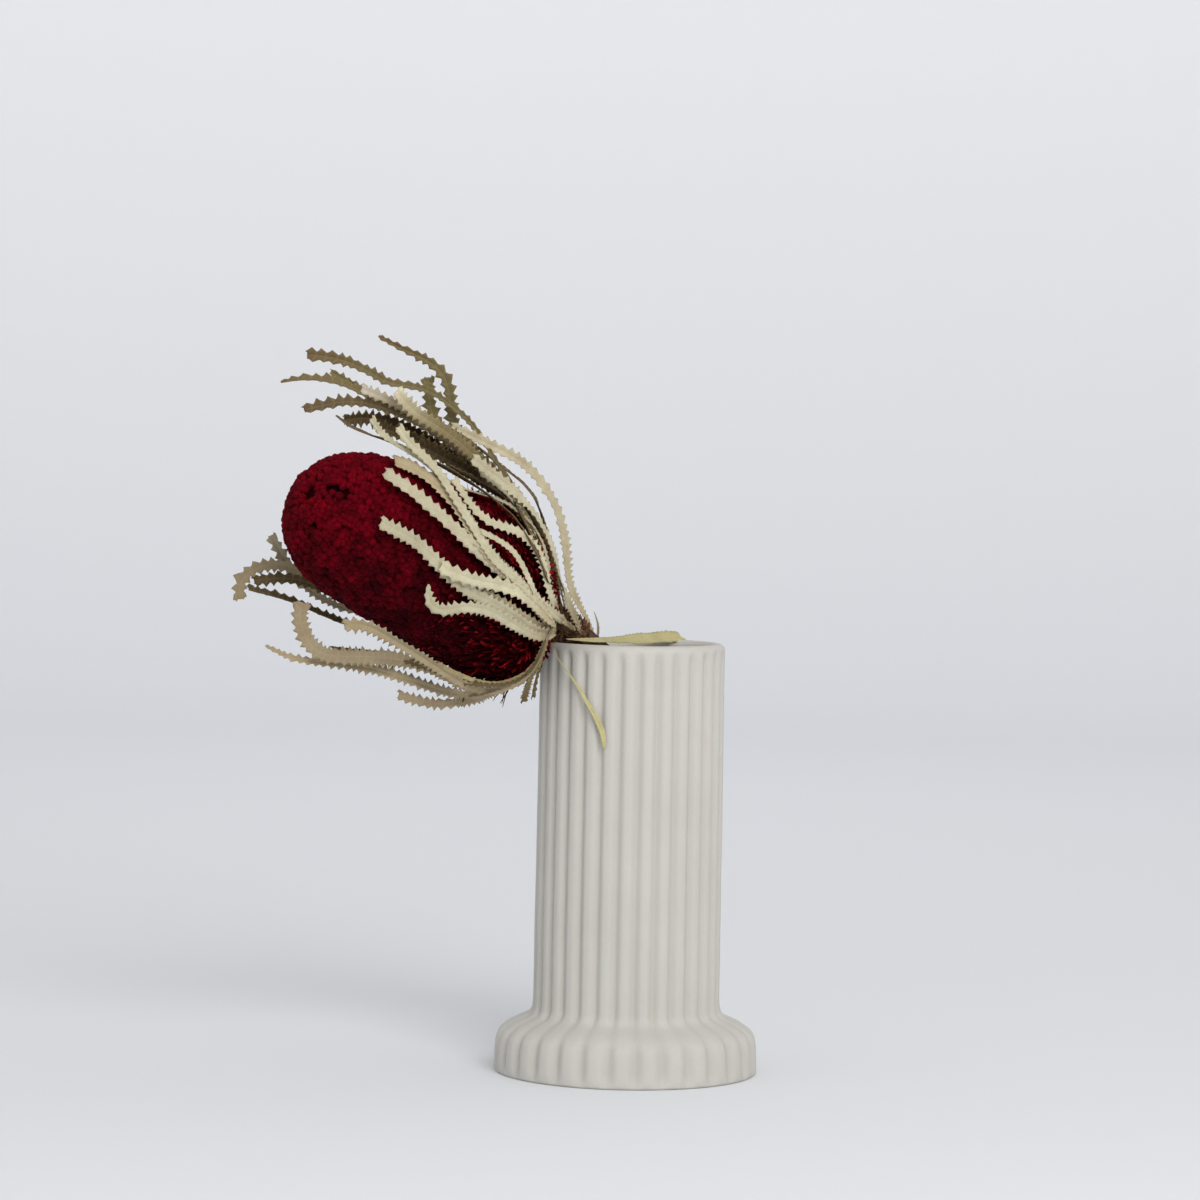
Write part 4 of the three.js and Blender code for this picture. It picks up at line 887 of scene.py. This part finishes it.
# Leaves that differ from that. Slim scales the width, stalk is the share of the length that widens
# from stalkWidth at the root, and taper the share that narrows to the tip. LowerTeeth scales the
# notches of the lower edge, and lowered moves the outer part of the route down.
leafTraits = {
    "frontUpper": {"lowerTeeth": 0.55, "lastPitch": 4.8}, "frontLong": {"lowerTeeth": 0.6, "slim": 0.72},
    "frontMiddle": {"lowerTeeth": 0.7, "lastPitch": 4}, "frontBroad": {"lowerTeeth": 0.75, "lastPitch": 4.8},
    "frontLow": {"lowerTeeth": 0.65, "taper": 0.14}, "frontUnder": {"stalk": 0.4, "notch": 0.3, "slim": 1.4},
    "frontTan": {"stalk": 0.3}, "frontSmooth": {"notch": 0.34, "slim": 1.25, "stalk": 0.7, "stalkWidth": 0.4},
    "topStraight": {
        "fold": 0.2, "taper": 0.24, "slim": 1.2, "stalk": 0.6, "firstPitch": 2.8, "lastPitch": 5},
    "topBlunt": {"slim": 1.2, "stalk": 0.6, "firstPitch": 2.8, "lastPitch": 4.8},
    "topOlive": {
        "fold": 0.3, "notch": 0.46, "stalk": 0.95, "stalkWidth": 0.34, "firstPitch": 2.8, "lastPitch": 5.4},
    "topFar": {
        "fold": 0.5, "taper": 0.14, "slim": 0.95, "stalk": 0.6, "firstPitch": 2.8, "lastPitch": 5.2},
    "topShort": {"fold": 0.6, "slim": 0.9, "stalk": 0.6, "lastPitch": 5},
    "topBrown": {"fold": 0.5, "stalk": 0.7, "slim": 0.95, "notch": 0.55, "lastPitch": 4.8},
    "topDarkHigh": {"fold": 0.5, "slim": 1.15, "stalk": 0.5, "notch": 0.6},
    "topDarkMiddle": {"fold": 0.4, "slim": 1.15, "stalk": 0.5, "notch": 0.6},
    "topDarkLow": {"fold": 0.4, "slim": 1.2, "stalk": 0.5}, "topCurl": {"notch": 0.3, "taper": 0.25},
    "topPale": {"slim": 0.95, "stalk": 0.8}, "topCream": {"slim": 0.7},
    "topPaleBroad": {"slim": 1.05, "stalk": 0.7}, "archShade": {"slim": 0.8},
    "archThin": {"notch": 0.2, "taper": 0.3}, "archEdge": {"notch": 0.3, "stalk": 0.5},
    "archOuter": {"fold": 0.3, "notch": 0.5, "slim": 1.2, "lastPitch": 4.4},
    "leftDrooping": {"notch": 0.56, "stalk": 0.75, "stalkWidth": 0.25, "slim": 1.15, "lastPitch": 4.2},
    "leftRaised": {"notch": 0.56, "stalk": 0.85, "stalkWidth": 0.2, "slim": 1.1, "lastPitch": 4.2},
    "leftDarkHigh": {"stalk": 0.6, "slim": 1.05, "notch": 0.5, "lastPitch": 4, "lowered": -0.6},
    "leftDarkLow": {"fold": 0.5, "slim": 0.85, "stalk": 0.5, "notch": 0.5, "lastPitch": 4, "lowered": 3},
    "lowToothed": {"taper": 0.22, "stalk": 0.46, "stalkWidth": 0.12},
    "lowLong": {"notch": 0.42, "stalk": 0.46, "stalkWidth": 0.16},
    "lowThin": {"notch": 0.2, "slim": 0.6, "stalk": 0.6},
    "lowFront": {"fold": 0.3, "stalk": 0.55, "stalkWidth": 0.18, "slim": 1.15},
    "lowDark": {"stalk": 0.5, "stalkWidth": 0.16}, "lowestCurl": {"stalk": 0.62, "stalkWidth": 0.12},
    "hook": {"notch": 0.2, "taper": 0.5},
    "yellowLeafAcross": {"notch": 0.16, "stalk": 0.6, "stalkWidth": 0.4},
    "yellowLeafHanging": {"notch": 0.2, "stalk": 0.9, "stalkWidth": 0.14, "taper": 0.2},
}

# the colours of each look: near the stem, along the blade, at the tip, and on the back
leafLooks = {
    "cream": ((168, 154, 122), (193, 187, 158), (192, 186, 156), (168, 157, 128)),
    "pale": ((172, 157, 124), (188, 178, 149), (194, 186, 156), (168, 156, 126)),
    "tan": ((160, 144, 108), (190, 176, 142), (180, 162, 126), (158, 144, 112)),
    "sand": ((148, 131, 100), (170, 155, 124), (166, 148, 117), (148, 132, 104)),
    "khaki": ((144, 128, 98), (168, 154, 124), (158, 142, 110), (142, 127, 100)),
    "grey": ((140, 128, 100), (168, 159, 134), (160, 150, 124), (140, 132, 110)),
    # dark is partly the leaves' own brown and partly painted shade: it colours leaves that lie in shade deep
    # in the bundle
    "dark": ((104, 90, 60), (88, 74, 43), (90, 76, 46), (74, 61, 36)),
    "olive": ((140, 128, 94), (115, 105, 68), (106, 87, 56), (90, 80, 51)),
    "moss": ((142, 130, 96), (130, 122, 78), (130, 120, 76), (104, 96, 62)),
    "umber": ((128, 112, 80), (92, 78, 50), (88, 73, 48), (76, 64, 42)),
    "lime": ((160, 148, 104), (180, 170, 118), (168, 154, 108), (150, 138, 98)),
    "paleTip": ((134, 120, 88), (112, 99, 68), (208, 198, 180), (120, 106, 76)),
    "creamTip": ((134, 120, 88), (118, 106, 72), (208, 200, 168), (120, 106, 76)),
    "yellow": ((190, 180, 132), (196, 188, 136), (198, 190, 134), (184, 174, 120)),
}


def makeLeafMaterial(name):
    # leafTint colours each leaf, leafAcross runs from -1 to 1 over the blade, and leafAlong
    # counts the teeth from the stem
    patch, vein, edge = (128, 100, 68), (226, 216, 182), (150, 128, 84)
    material, shader, tree = newMaterial(name, (200, 190, 150), roughness=0.72)
    aside = addMath(tree, "ABSOLUTE", readAttribute(tree, "leafAcross"))
    # a side vein runs at a slant from the midrib to each tooth
    slant = addMath(tree, "MULTIPLY_ADD", aside, -0.5, readAttribute(tree, "leafAlong"))
    ripple = addMath(tree, "SINE", addMath(tree, "MULTIPLY", slant, math.tau))
    sideVein = addRange(tree, ripple, 0.7, 1.0)
    midrib = addRange(tree, aside, 0.14, 0.03)
    lines = addMath(tree, "MAXIMUM", sideVein, midrib)
    margin = addRange(tree, aside, 0.75, 1.1, 0.35)
    body = addMottle(tree, readAttribute(tree, "leafTint", "Color"), patch, patchScale=150.0,
                     grainScale=1400.0, patches=0.26, grain=0.2)
    veined = mixColours(tree, addMath(tree, "MULTIPLY", lines, 0.08), body["Colour"], paint(vein))
    tree.links.new(mixColours(tree, margin, veined, paint(edge)), shader.inputs["Base Color"])
    rise = addMath(tree, "MULTIPLY_ADD", lines, -0.6, body["Height"])
    addBump(tree, shader, rise, strength=0.35, distance=0.0003)
    return material


def seen(x, z, forward):
    # the point at a distance in front of the plane, on the sight line through x and z
    share = 1 + forward / eye.y
    return Vector((eye.x + (x - eye.x) * share, -forward, eye.z + (z - eye.z) * share))


def routeLine(route, depths, lowered=0):
    # the whole of lowered counts from the eighth point on, and none of it up to the fourth
    flat = smoothLine([(x, 0, z - lowered * limited((i - 3) / 4)) for i, (x, z) in enumerate(route)])
    count = len(route) * 2
    places = [(i / (len(depths) - 1), depth) for i, depth in enumerate(depths)]
    return [seen(point.x, point.z, between(places, i / count))
            for i, (point, along) in enumerate(evenly(flat, count))]


def clearOfHead(point, margin, side):
    # moves a point along its sight line until it is clear of the spike
    step = (eye - point).normalized() * 0.5 * side
    for i in range(260):
        if headLevel(point, margin) >= 1:
            break
        point = point + step
    return point


def clearOfVase(point, margin):
    # moves a point towards the eye until it is clear of the vase's wall
    step = (eye - point).normalized() * 0.5
    inner, outer, top = vase["mouth"] - margin, vase["shaft"] + margin, vase["height"] + margin
    while inner < math.hypot(point.x, point.y) < outer and point.z < top:
        point = point + step
    return point


def easedLine(points, clear):
    eased = [clear(point) for point in points]
    for turn in range(3):
        for i in range(1, len(eased) - 1):
            eased[i] = eased[i].lerp((eased[i - 1] + eased[i + 1]) / 2, 0.4)
    return smoothLine([clear(point) for point in eased], 6)


def awayFromHead(point):
    reach = head["length"] / 2 - head["radius"]
    offset = point - head["centre"]
    along = limited(offset.dot(head["along"]), -reach, reach)
    return (offset - head["along"] * along).normalized()


def leafFaces(places, facesOut, hugsHead):
    # the way that the blade faces at each place along it, worked out from the tip to the stem
    faces = [None] * len(places)
    carried = None
    for i in reversed(range(len(places))):
        centre, along = places[i]
        outward = awayFromHead(centre)
        wanted = outward.copy() if facesOut else (eye - centre).normalized()
        if hugsHead:
            near = limited((1.12 - headLevel(centre, leafShape["nearHead"])) / 0.2)
            wanted = wanted * (1 - 0.5 * near) + outward * near
        if carried:
            wanted = wanted + carried * 5
        wanted = (wanted - along * wanted.dot(along)).normalized()
        carried = faces[i] = wanted
    return faces


def toothRows(shape, width, length, draw):
    # the number of teeth, and for each row its place in teeth, its distance and how far it stands out
    firstPitch, lastPitch = shape["firstPitch"], shape["lastPitch"]
    if width < shape["narrow"]:
        firstPitch, lastPitch = firstPitch * shape["narrowPitch"], lastPitch * shape["narrowPitch"]
    teeth = max(2, round(length / ((firstPitch + lastPitch) / 2)))
    starts = [0.0]
    for tooth in range(teeth):
        pitch = firstPitch + (lastPitch - firstPitch) * tooth / teeth
        starts.append(starts[-1] + pitch * draw.uniform(*shape["pitchSpread"]))
    stretch = length / starts[-1]
    starts = [start * stretch for start in starts]
    rows = []
    for tooth, (start, end) in enumerate(zip(starts, starts[1:])):
        for place, height in shape["teeth"]:
            rows.append((tooth + place, start + (end - start) * place, height))
    rows.append((teeth, length, shape["endHeight"]))
    return teeth, rows


def halfWidth(shape, width, length, distance):
    # half the blade's width without its teeth
    share = distance / length
    half = width / 2 * between(shape["widths"], share)
    half *= min(1, 0.62 + 0.38 * (length - distance) / 2.4)
    if shape["taper"]:
        half *= min(1, shape["taperEnd"] + (1 - shape["taperEnd"]) * (1 - share) / shape["taper"])
    if share < shape["stalk"]:
        half *= shape["stalkWidth"] + (1 - shape["stalkWidth"]) * (share / shape["stalk"]) ** 2
    return half


def addLeaf(bm, line, look, width, roll, seed, traits=None, facesOut=False, hugsHead=True):
    draw = random.Random(seed)
    length = lineLengths(line)[-1]
    shape = {**leafShape, **(traits or {})}
    width *= shape["slim"]
    teeth, rows = toothRows(shape, width, length, draw)
    shift = {-1: 0, 1: draw.uniform(*shape["sidesApart"])}  # the two sides' teeth don't stand opposite
    sizes = {side: [draw.uniform(*shape["toothSpread"]) for tooth in range(teeth + 2)] for side in (-1, 1)}
    last = len(rows) - 1
    places = alongLine(line, [distance for place, distance, height in rows])
    faces = leafFaces(places, facesOut, hugsHead)

    acrossLayer = bm.verts.layers.float["leafAcross"]
    alongLayer = bm.verts.layers.float["leafAlong"]
    tintLayer = bm.verts.layers.float_color["leafTint"]
    below = bm.verts.layers.float_vector["below"]
    columns = shape["columns"]
    verts = bmesh.ops.create_grid(bm, x_segments=len(columns) - 1, y_segments=last, size=1)["verts"]
    own = list(dict.fromkeys(face for vert in verts for face in vert.link_faces))
    rootTint, bladeTint, tipTint, backTint = (Vector(colour) for colour in leafLooks[look])
    phase = draw.uniform(0, 90)
    brightness = draw.uniform(*shape["brightness"])
    for vert in verts:
        across = columns[round((vert.co.x + 1) / 2 * (len(columns) - 1))]
        row = round((vert.co.y + 1) / 2 * last)
        side = -1 if across < 0 else 1
        tooth, distance, height = rows[row]
        toTip, share = length - distance, distance / length
        centre, along = places[row]
        twist = shape["twist"] * noise.noise(Vector((phase, distance * 0.05, 0)))
        turn = math.radians(roll[0] + (roll[1] - roll[0]) * share + twist)
        face = Matrix.Rotation(turn, 3, along) @ faces[row]
        reach = halfWidth(shape, width, length, distance)
        slide = shift[side] * shape["firstPitch"] * min(1, toTip / 6)
        if abs(across) == 1:
            size = sizes[side][int(tooth + 1e-6)] * (0.75 if distance < 3 else 1)
            notch = shape["notch"] * (shape["lowerTeeth"] if side < 0 else 1)
            reach = reach * (1 - notch * (1 - height * size))
            if toTip < 1.6 and not shape["taper"]:
                slide += 1.5 if side > 0 else 0.5  # the blunt end has a spine at each corner
        else:
            reach = reach * abs(across) * (1 - shape["notch"] * 0.22)
            slide = slide * abs(across)
        wave = shape["wave"] * noise.noise(Vector((phase + 20 * side, distance * 0.13, 3))) * abs(across)
        lift = shape["fold"] * reach + wave
        if across == 0:
            lift -= shape["midribDepth"]
        vert.co = (centre + along * slide + along.cross(face) * side * reach
                   + face * (lift + shape["raised"]))
        vert[acrossLayer] = across
        vert[alongLayer] = tooth + (shift[side] if across else 0) * abs(across)
        vert[below] = -face * (shape["edge"] if abs(across) == 1 else shape["thickness"])
        tint = rootTint.lerp(bladeTint, min(1, share / 0.35)).lerp(tipTint, max(0, (share - 0.8) / 0.2))
        tint *= brightness * (1 + 0.05 * noise.noise(centre * 0.12))
        vert[tintLayer] = paint(min(255, c) for c in tint)
    # the underside, whose edges are thinner than its middle
    for vert in bmesh.ops.extrude_face_region(bm, geom=own, use_keep_orig=True)["geom"]:
        if isinstance(vert, bmesh.types.BMVert):
            vert.co += vert[below]
            if abs(vert[acrossLayer]) < 1:
                vert[tintLayer] = paint(min(255, c) for c in backTint * brightness)


def newLeafMesh():
    bm = bmesh.new()
    bm.verts.layers.float.new("leafAcross")
    bm.verts.layers.float.new("leafAlong")
    bm.verts.layers.float_color.new("leafTint")
    bm.verts.layers.float_vector.new("below")
    return bm


def finishLeaves(bm, name, material, nodes):
    bm.verts.layers.float_vector.remove(bm.verts.layers.float_vector["below"])
    bmesh.ops.recalc_face_normals(bm, faces=bm.faces[:])
    finishPiece(bm, name, material, nodes)


def addLeaves(material):
    seed = 100
    for group, leaves in leafRows.items():
        bm = newLeafMesh()
        for name, look, depths, lift, width, roll, side, route in leaves:
            traits = leafTraits.get(name, {})
            lip = leafShape["lipClearance"] + (lift if side > 0 else 0)
            margin = leafShape["clearance"] + lift
            line = easedLine(routeLine(route, depths, traits.get("lowered", 0)),
                             lambda point: clearOfVase(clearOfHead(point, margin, side), lip))
            seed += 1
            addLeaf(bm, line, look, width, roll, seed, traits)
        finishLeaves(bm, group, material, ["leafy_stem"])


# leaves along the back of the spike: turns and drift in degrees, reach as a share of the spike
backLeaves = {
    "looks": ("khaki", "sand", "tan", "khaki", "umber"), "firstTurn": 42, "lastTurn": -24,
    "reach": (0.1, 0.45), "lift": (5, 9), "drift": (-6, 6), "drawSeed": 40, "seed": 300,
    "width": 7.4, "clearance": 4.8, "steps": 8, "parts": 27,
}


def partDraw(seed):
    # the repeatable draw of numbers from 0 to 1 that the part's source uses, in 32 bits
    whole = 0xFFFFFFFF
    state = seed
    while True:
        state = (state + 0x6D2B79F5) & whole
        mixed = ((state ^ state >> 15) * (1 | state)) & whole
        mixed = ((mixed + (mixed ^ mixed >> 7) * (61 | mixed)) & whole) ^ mixed
        yield (mixed ^ mixed >> 14) / (whole + 1)


def drawBetween(draw, pair, places):
    return round(pair[0] + (pair[1] - pair[0]) * next(draw), places)


def addBackLeaves(material):
    bm = newLeafMesh()
    steps, count = backLeaves["steps"], len(backLeaves["looks"])
    for i, look in enumerate(backLeaves["looks"]):
        draw = partDraw(backLeaves["drawSeed"] + i)
        reach = drawBetween(draw, backLeaves["reach"], 3)
        lift = drawBetween(draw, backLeaves["lift"], 2)
        drift = drawBetween(draw, backLeaves["drift"], 1)
        turn = backLeaves["firstTurn"] + (backLeaves["lastTurn"] - backLeaves["firstTurn"]) * i / (count - 1)
        points = [Vector(stem["route"][1][:3])]
        for step in range(steps + 1):
            share = -0.98 + (0.98 + reach) * step / steps
            angle = math.radians(turn + drift * (step / (steps + 1)) ** 2)
            points.append(headPoint(share, angle, -(5 + lift * (step / steps) ** 2)))
        spaced = [point for point, along in evenly(smoothLine(points), backLeaves["parts"])]
        line = easedLine(spaced, lambda point: clearOfHead(point, backLeaves["clearance"], -1))
        addLeaf(bm, line, look, backLeaves["width"], (0, 0), backLeaves["seed"] + i, facesOut=True)
    finishLeaves(bm, "leavesBehind", material, ["leafy_stem"])


# the two pale yellow leaves: node, depths, width, roll and route, as in leafRows
yellowLeaves = {
    "yellowLeafAcross": ("yellow_leaf_across", (20, 17, 10, 0, -14, -27, -37), 8, (-34, -50), (
        (-31, 200.6), (-24, 200.5), (-18, 200.4), (-12, 200.5), (-6, 200.7), (0, 201), (6, 201.5),
        (12, 202.1), (17, 202.6), (22, 202.9))),
    "yellowLeafHanging": ("yellow_leaf_hanging", (23.6, 34.8, 41.2, 43.4), 4, (-12, -4), (
        (-38, 199.5), (-36.5, 195), (-34, 190.3), (-31, 186.3), (-27.8, 182.3), (-24.8, 178), (-22.3, 174),
        (-20, 170), (-17.5, 166), (-15.2, 162), (-13.5, 158), (-12.6, 154), (-12.4, 149.6))),
}


def addYellowLeaves(material):
    for name, (node, depths, width, roll, route) in yellowLeaves.items():
        bm = newLeafMesh()
        line = easedLine(routeLine(route, depths), lambda point: point)
        addLeaf(bm, line, "yellow", width, roll, 400 + len(route), leafTraits[name], hugsHead=False)
        finishLeaves(bm, name, material, [node])


# the woody stem, with brown hairs and scales where the leaves leave it
stem = {
    "rings": 80, "sides": 28, "ridge": 0.55, "knob": 0.5, "bark": ((44, 30, 22), (128, 100, 72)),
    "route": (  # x, y, z and radius, from below the spike over the left of the lip into the vase
        (-41.5, -12.8, 209.6, 6.2), (-37, -10.6, 207.6, 6.9), (-31, -8, 204.9, 6.7),
        (-24, -4.8, 200.4, 6.1), (-14, -0.6, 192.6, 5.2), (-2, 3.6, 182.5, 4.9), (10, 7.2, 172, 4.7),
        (20, 9.6, 161, 4.6), (27.6, 11.2, 150, 4.6)),
    "hairs": 1500, "seed": 21, "furthest": 0.27, "gathering": 1.15, "bend": 0.45, "bendScale": 4,
    "length": (3, 6.5), "width": (0.3, 0.65), "sunk": 0.8, "tone": (0.2, 1), "tipTone": 1.3,
    "hair": ((50, 26, 20), (156, 112, 82)),
}


def makeBarkMaterial(name, colours):
    deep, bright = colours
    material, shader, tree = newMaterial(name, bright, roughness=0.85)
    ramp = addRamp(tree, readAttribute(tree, "tone"), colours)
    body = addMottle(tree, ramp, deep, patchScale=220.0, grainScale=1500.0, patches=0.5, grain=0.4)
    tree.links.new(body["Colour"], shader.inputs["Base Color"])
    addBump(tree, shader, body["Height"], strength=0.6, distance=0.0008)
    return material


def sidewaysFrom(along):
    side = along.cross(Vector((0, 0, 1))).normalized()
    return side, along.cross(side)


def addStem(barkMaterial, hairMaterial):
    line = smoothLine([point[:3] for point in stem["route"]])
    length = lineLengths(line)[-1]
    radii = [(i / (len(stem["route"]) - 1), point[3]) for i, point in enumerate(stem["route"])]
    bm, tone = newToned()
    places = evenly(line, stem["rings"])
    along = places[0][1]
    bmesh.ops.create_circle(bm, segments=stem["sides"], radius=1, cap_ends=True)
    edges = bm.edges[:]
    ring = bm.verts[:]
    bmesh.ops.transform(bm, verts=ring, matrix=Matrix((*sidewaysFrom(along), along)).transposed().to_4x4())
    directions = [vert.co.copy() for vert in ring]
    for i, (centre, along) in enumerate(places):
        if i:
            made = bmesh.ops.extrude_edge_only(bm, edges=edges)["geom"]
            edges = [g for g in made if isinstance(g, bmesh.types.BMEdge)]
            newRing = [g for g in made if isinstance(g, bmesh.types.BMVert)]
            # each new vertex keeps the direction of the one that it came from
            order = {}
            for k, vert in enumerate(ring):
                for edge in vert.link_edges:
                    other = edge.other_vert(vert)
                    if other in newRing:
                        order[other] = k
            ring = sorted(newRing, key=order.get)
        radius = between(radii, i / stem["rings"])
        for vert, direction in zip(ring, directions):
            outward = (direction - along * direction.dot(along)).normalized()
            point = centre + outward * radius
            ridge = noise.noise(direction * 3.5 + Vector((0, i * 0.035, 0)))
            knob = noise.noise(point * 0.22)
            vert.co = point + outward * (stem["ridge"] * ridge + stem["knob"] * knob)
            vert[tone] = 0.45 + 0.7 * ridge + 0.3 * knob
    bmesh.ops.contextual_create(bm, geom=edges)
    bmesh.ops.recalc_face_normals(bm, faces=bm.faces[:])
    finishPiece(bm, "stemBark", barkMaterial, ["leafy_stem"])

    draw = random.Random(stem["seed"])
    template = strandTemplate("hair", stem["bend"], stem["tipTone"], steps=3)
    hairs = []
    for i in range(stem["hairs"]):
        share = draw.uniform(0, stem["furthest"]) ** stem["gathering"]
        (centre, along), = alongLine(line, [share * length])
        turn = draw.uniform(0, math.tau)
        side, across = sidewaysFrom(along)
        outward = side * math.cos(turn) + across * math.sin(turn)
        upward = (outward + along * draw.uniform(-0.9, 0.1)).normalized()
        root = centre + outward * (between(radii, share) - stem["sunk"])
        hairLength = draw.uniform(*stem["length"]) * (1 - 2 * share)
        matrix = standing(root, upward, -along, hairLength, draw.uniform(*stem["width"]), stem["bendScale"])
        hairs.append((matrix, draw.uniform(*stem["tone"])))
    finishCopies("stemHairs", [(template, hairs)], hairMaterial, ["leafy_stem"])
    bpy.data.meshes.remove(template)


# crimson styles that hang from under the low leaves
looseStyles = {
    "bend": 0.35, "tipTone": 1.3, "stretch": 1.35, "width": 0.8,
    "rows": (  # x, z and depth as in leafRows, and how far each hangs over and down
        (-58.2, 176.2, 20, -1.6, -5.6), (-57.6, 176.4, 20.6, -2.6, -4.6), (-59.4, 176, 20.4, -0.6, -4.4),
        (-61.6, 175.8, 21, -2.4, -3.2), (-66.8, 177, 24, -2.6, -4.2), (-70.5, 176.4, 25, -0.6, -3.6),
        (-72.6, 177.2, 26, 1.4, -4), (-76.4, 172.6, 23, -1.8, -3.2), (-78.2, 173, 23.4, -0.6, -3.6)),
}


def addLooseStyles(material):
    template = strandTemplate("looseStyle", looseStyles["bend"], looseStyles["tipTone"])
    places = []
    for i, (x, z, forward, aside, down) in enumerate(looseStyles["rows"]):
        reach = Vector((aside, 0.6, down))
        length = reach.length * looseStyles["stretch"]
        leaning = Vector((1 - i % 3, 0, 0.3))
        matrix = standing(seen(x, z, forward), reach.normalized(), leaning, length, looseStyles["width"])
        places.append((matrix, 0.35 + 0.15 * (i % 4)))
    finishCopies("looseStyles", [(template, places)], material, ["flower_head"])
    bpy.data.meshes.remove(template)


# building it all

mottle = makeMottleGroup()
addCamera()
addStudio()
addVase(makeCeramic())
styleMaterial = makeFloretMaterial("openStyles", styles["colours"])
addHead(makeFloretMaterial("floretVelvet", florets["colours"]), styleMaterial,
        makeFloretMaterial("driedFringe", fringe["colours"]))
leafMaterial = makeLeafMaterial("driedLeaf")
addLeaves(leafMaterial)
addBackLeaves(leafMaterial)
addYellowLeaves(makeLeafMaterial("yellowLeaf"))
addStem(makeBarkMaterial("woodyStem", stem["bark"]), makeBarkMaterial("stemHair", stem["hair"]))
addLooseStyles(styleMaterial)
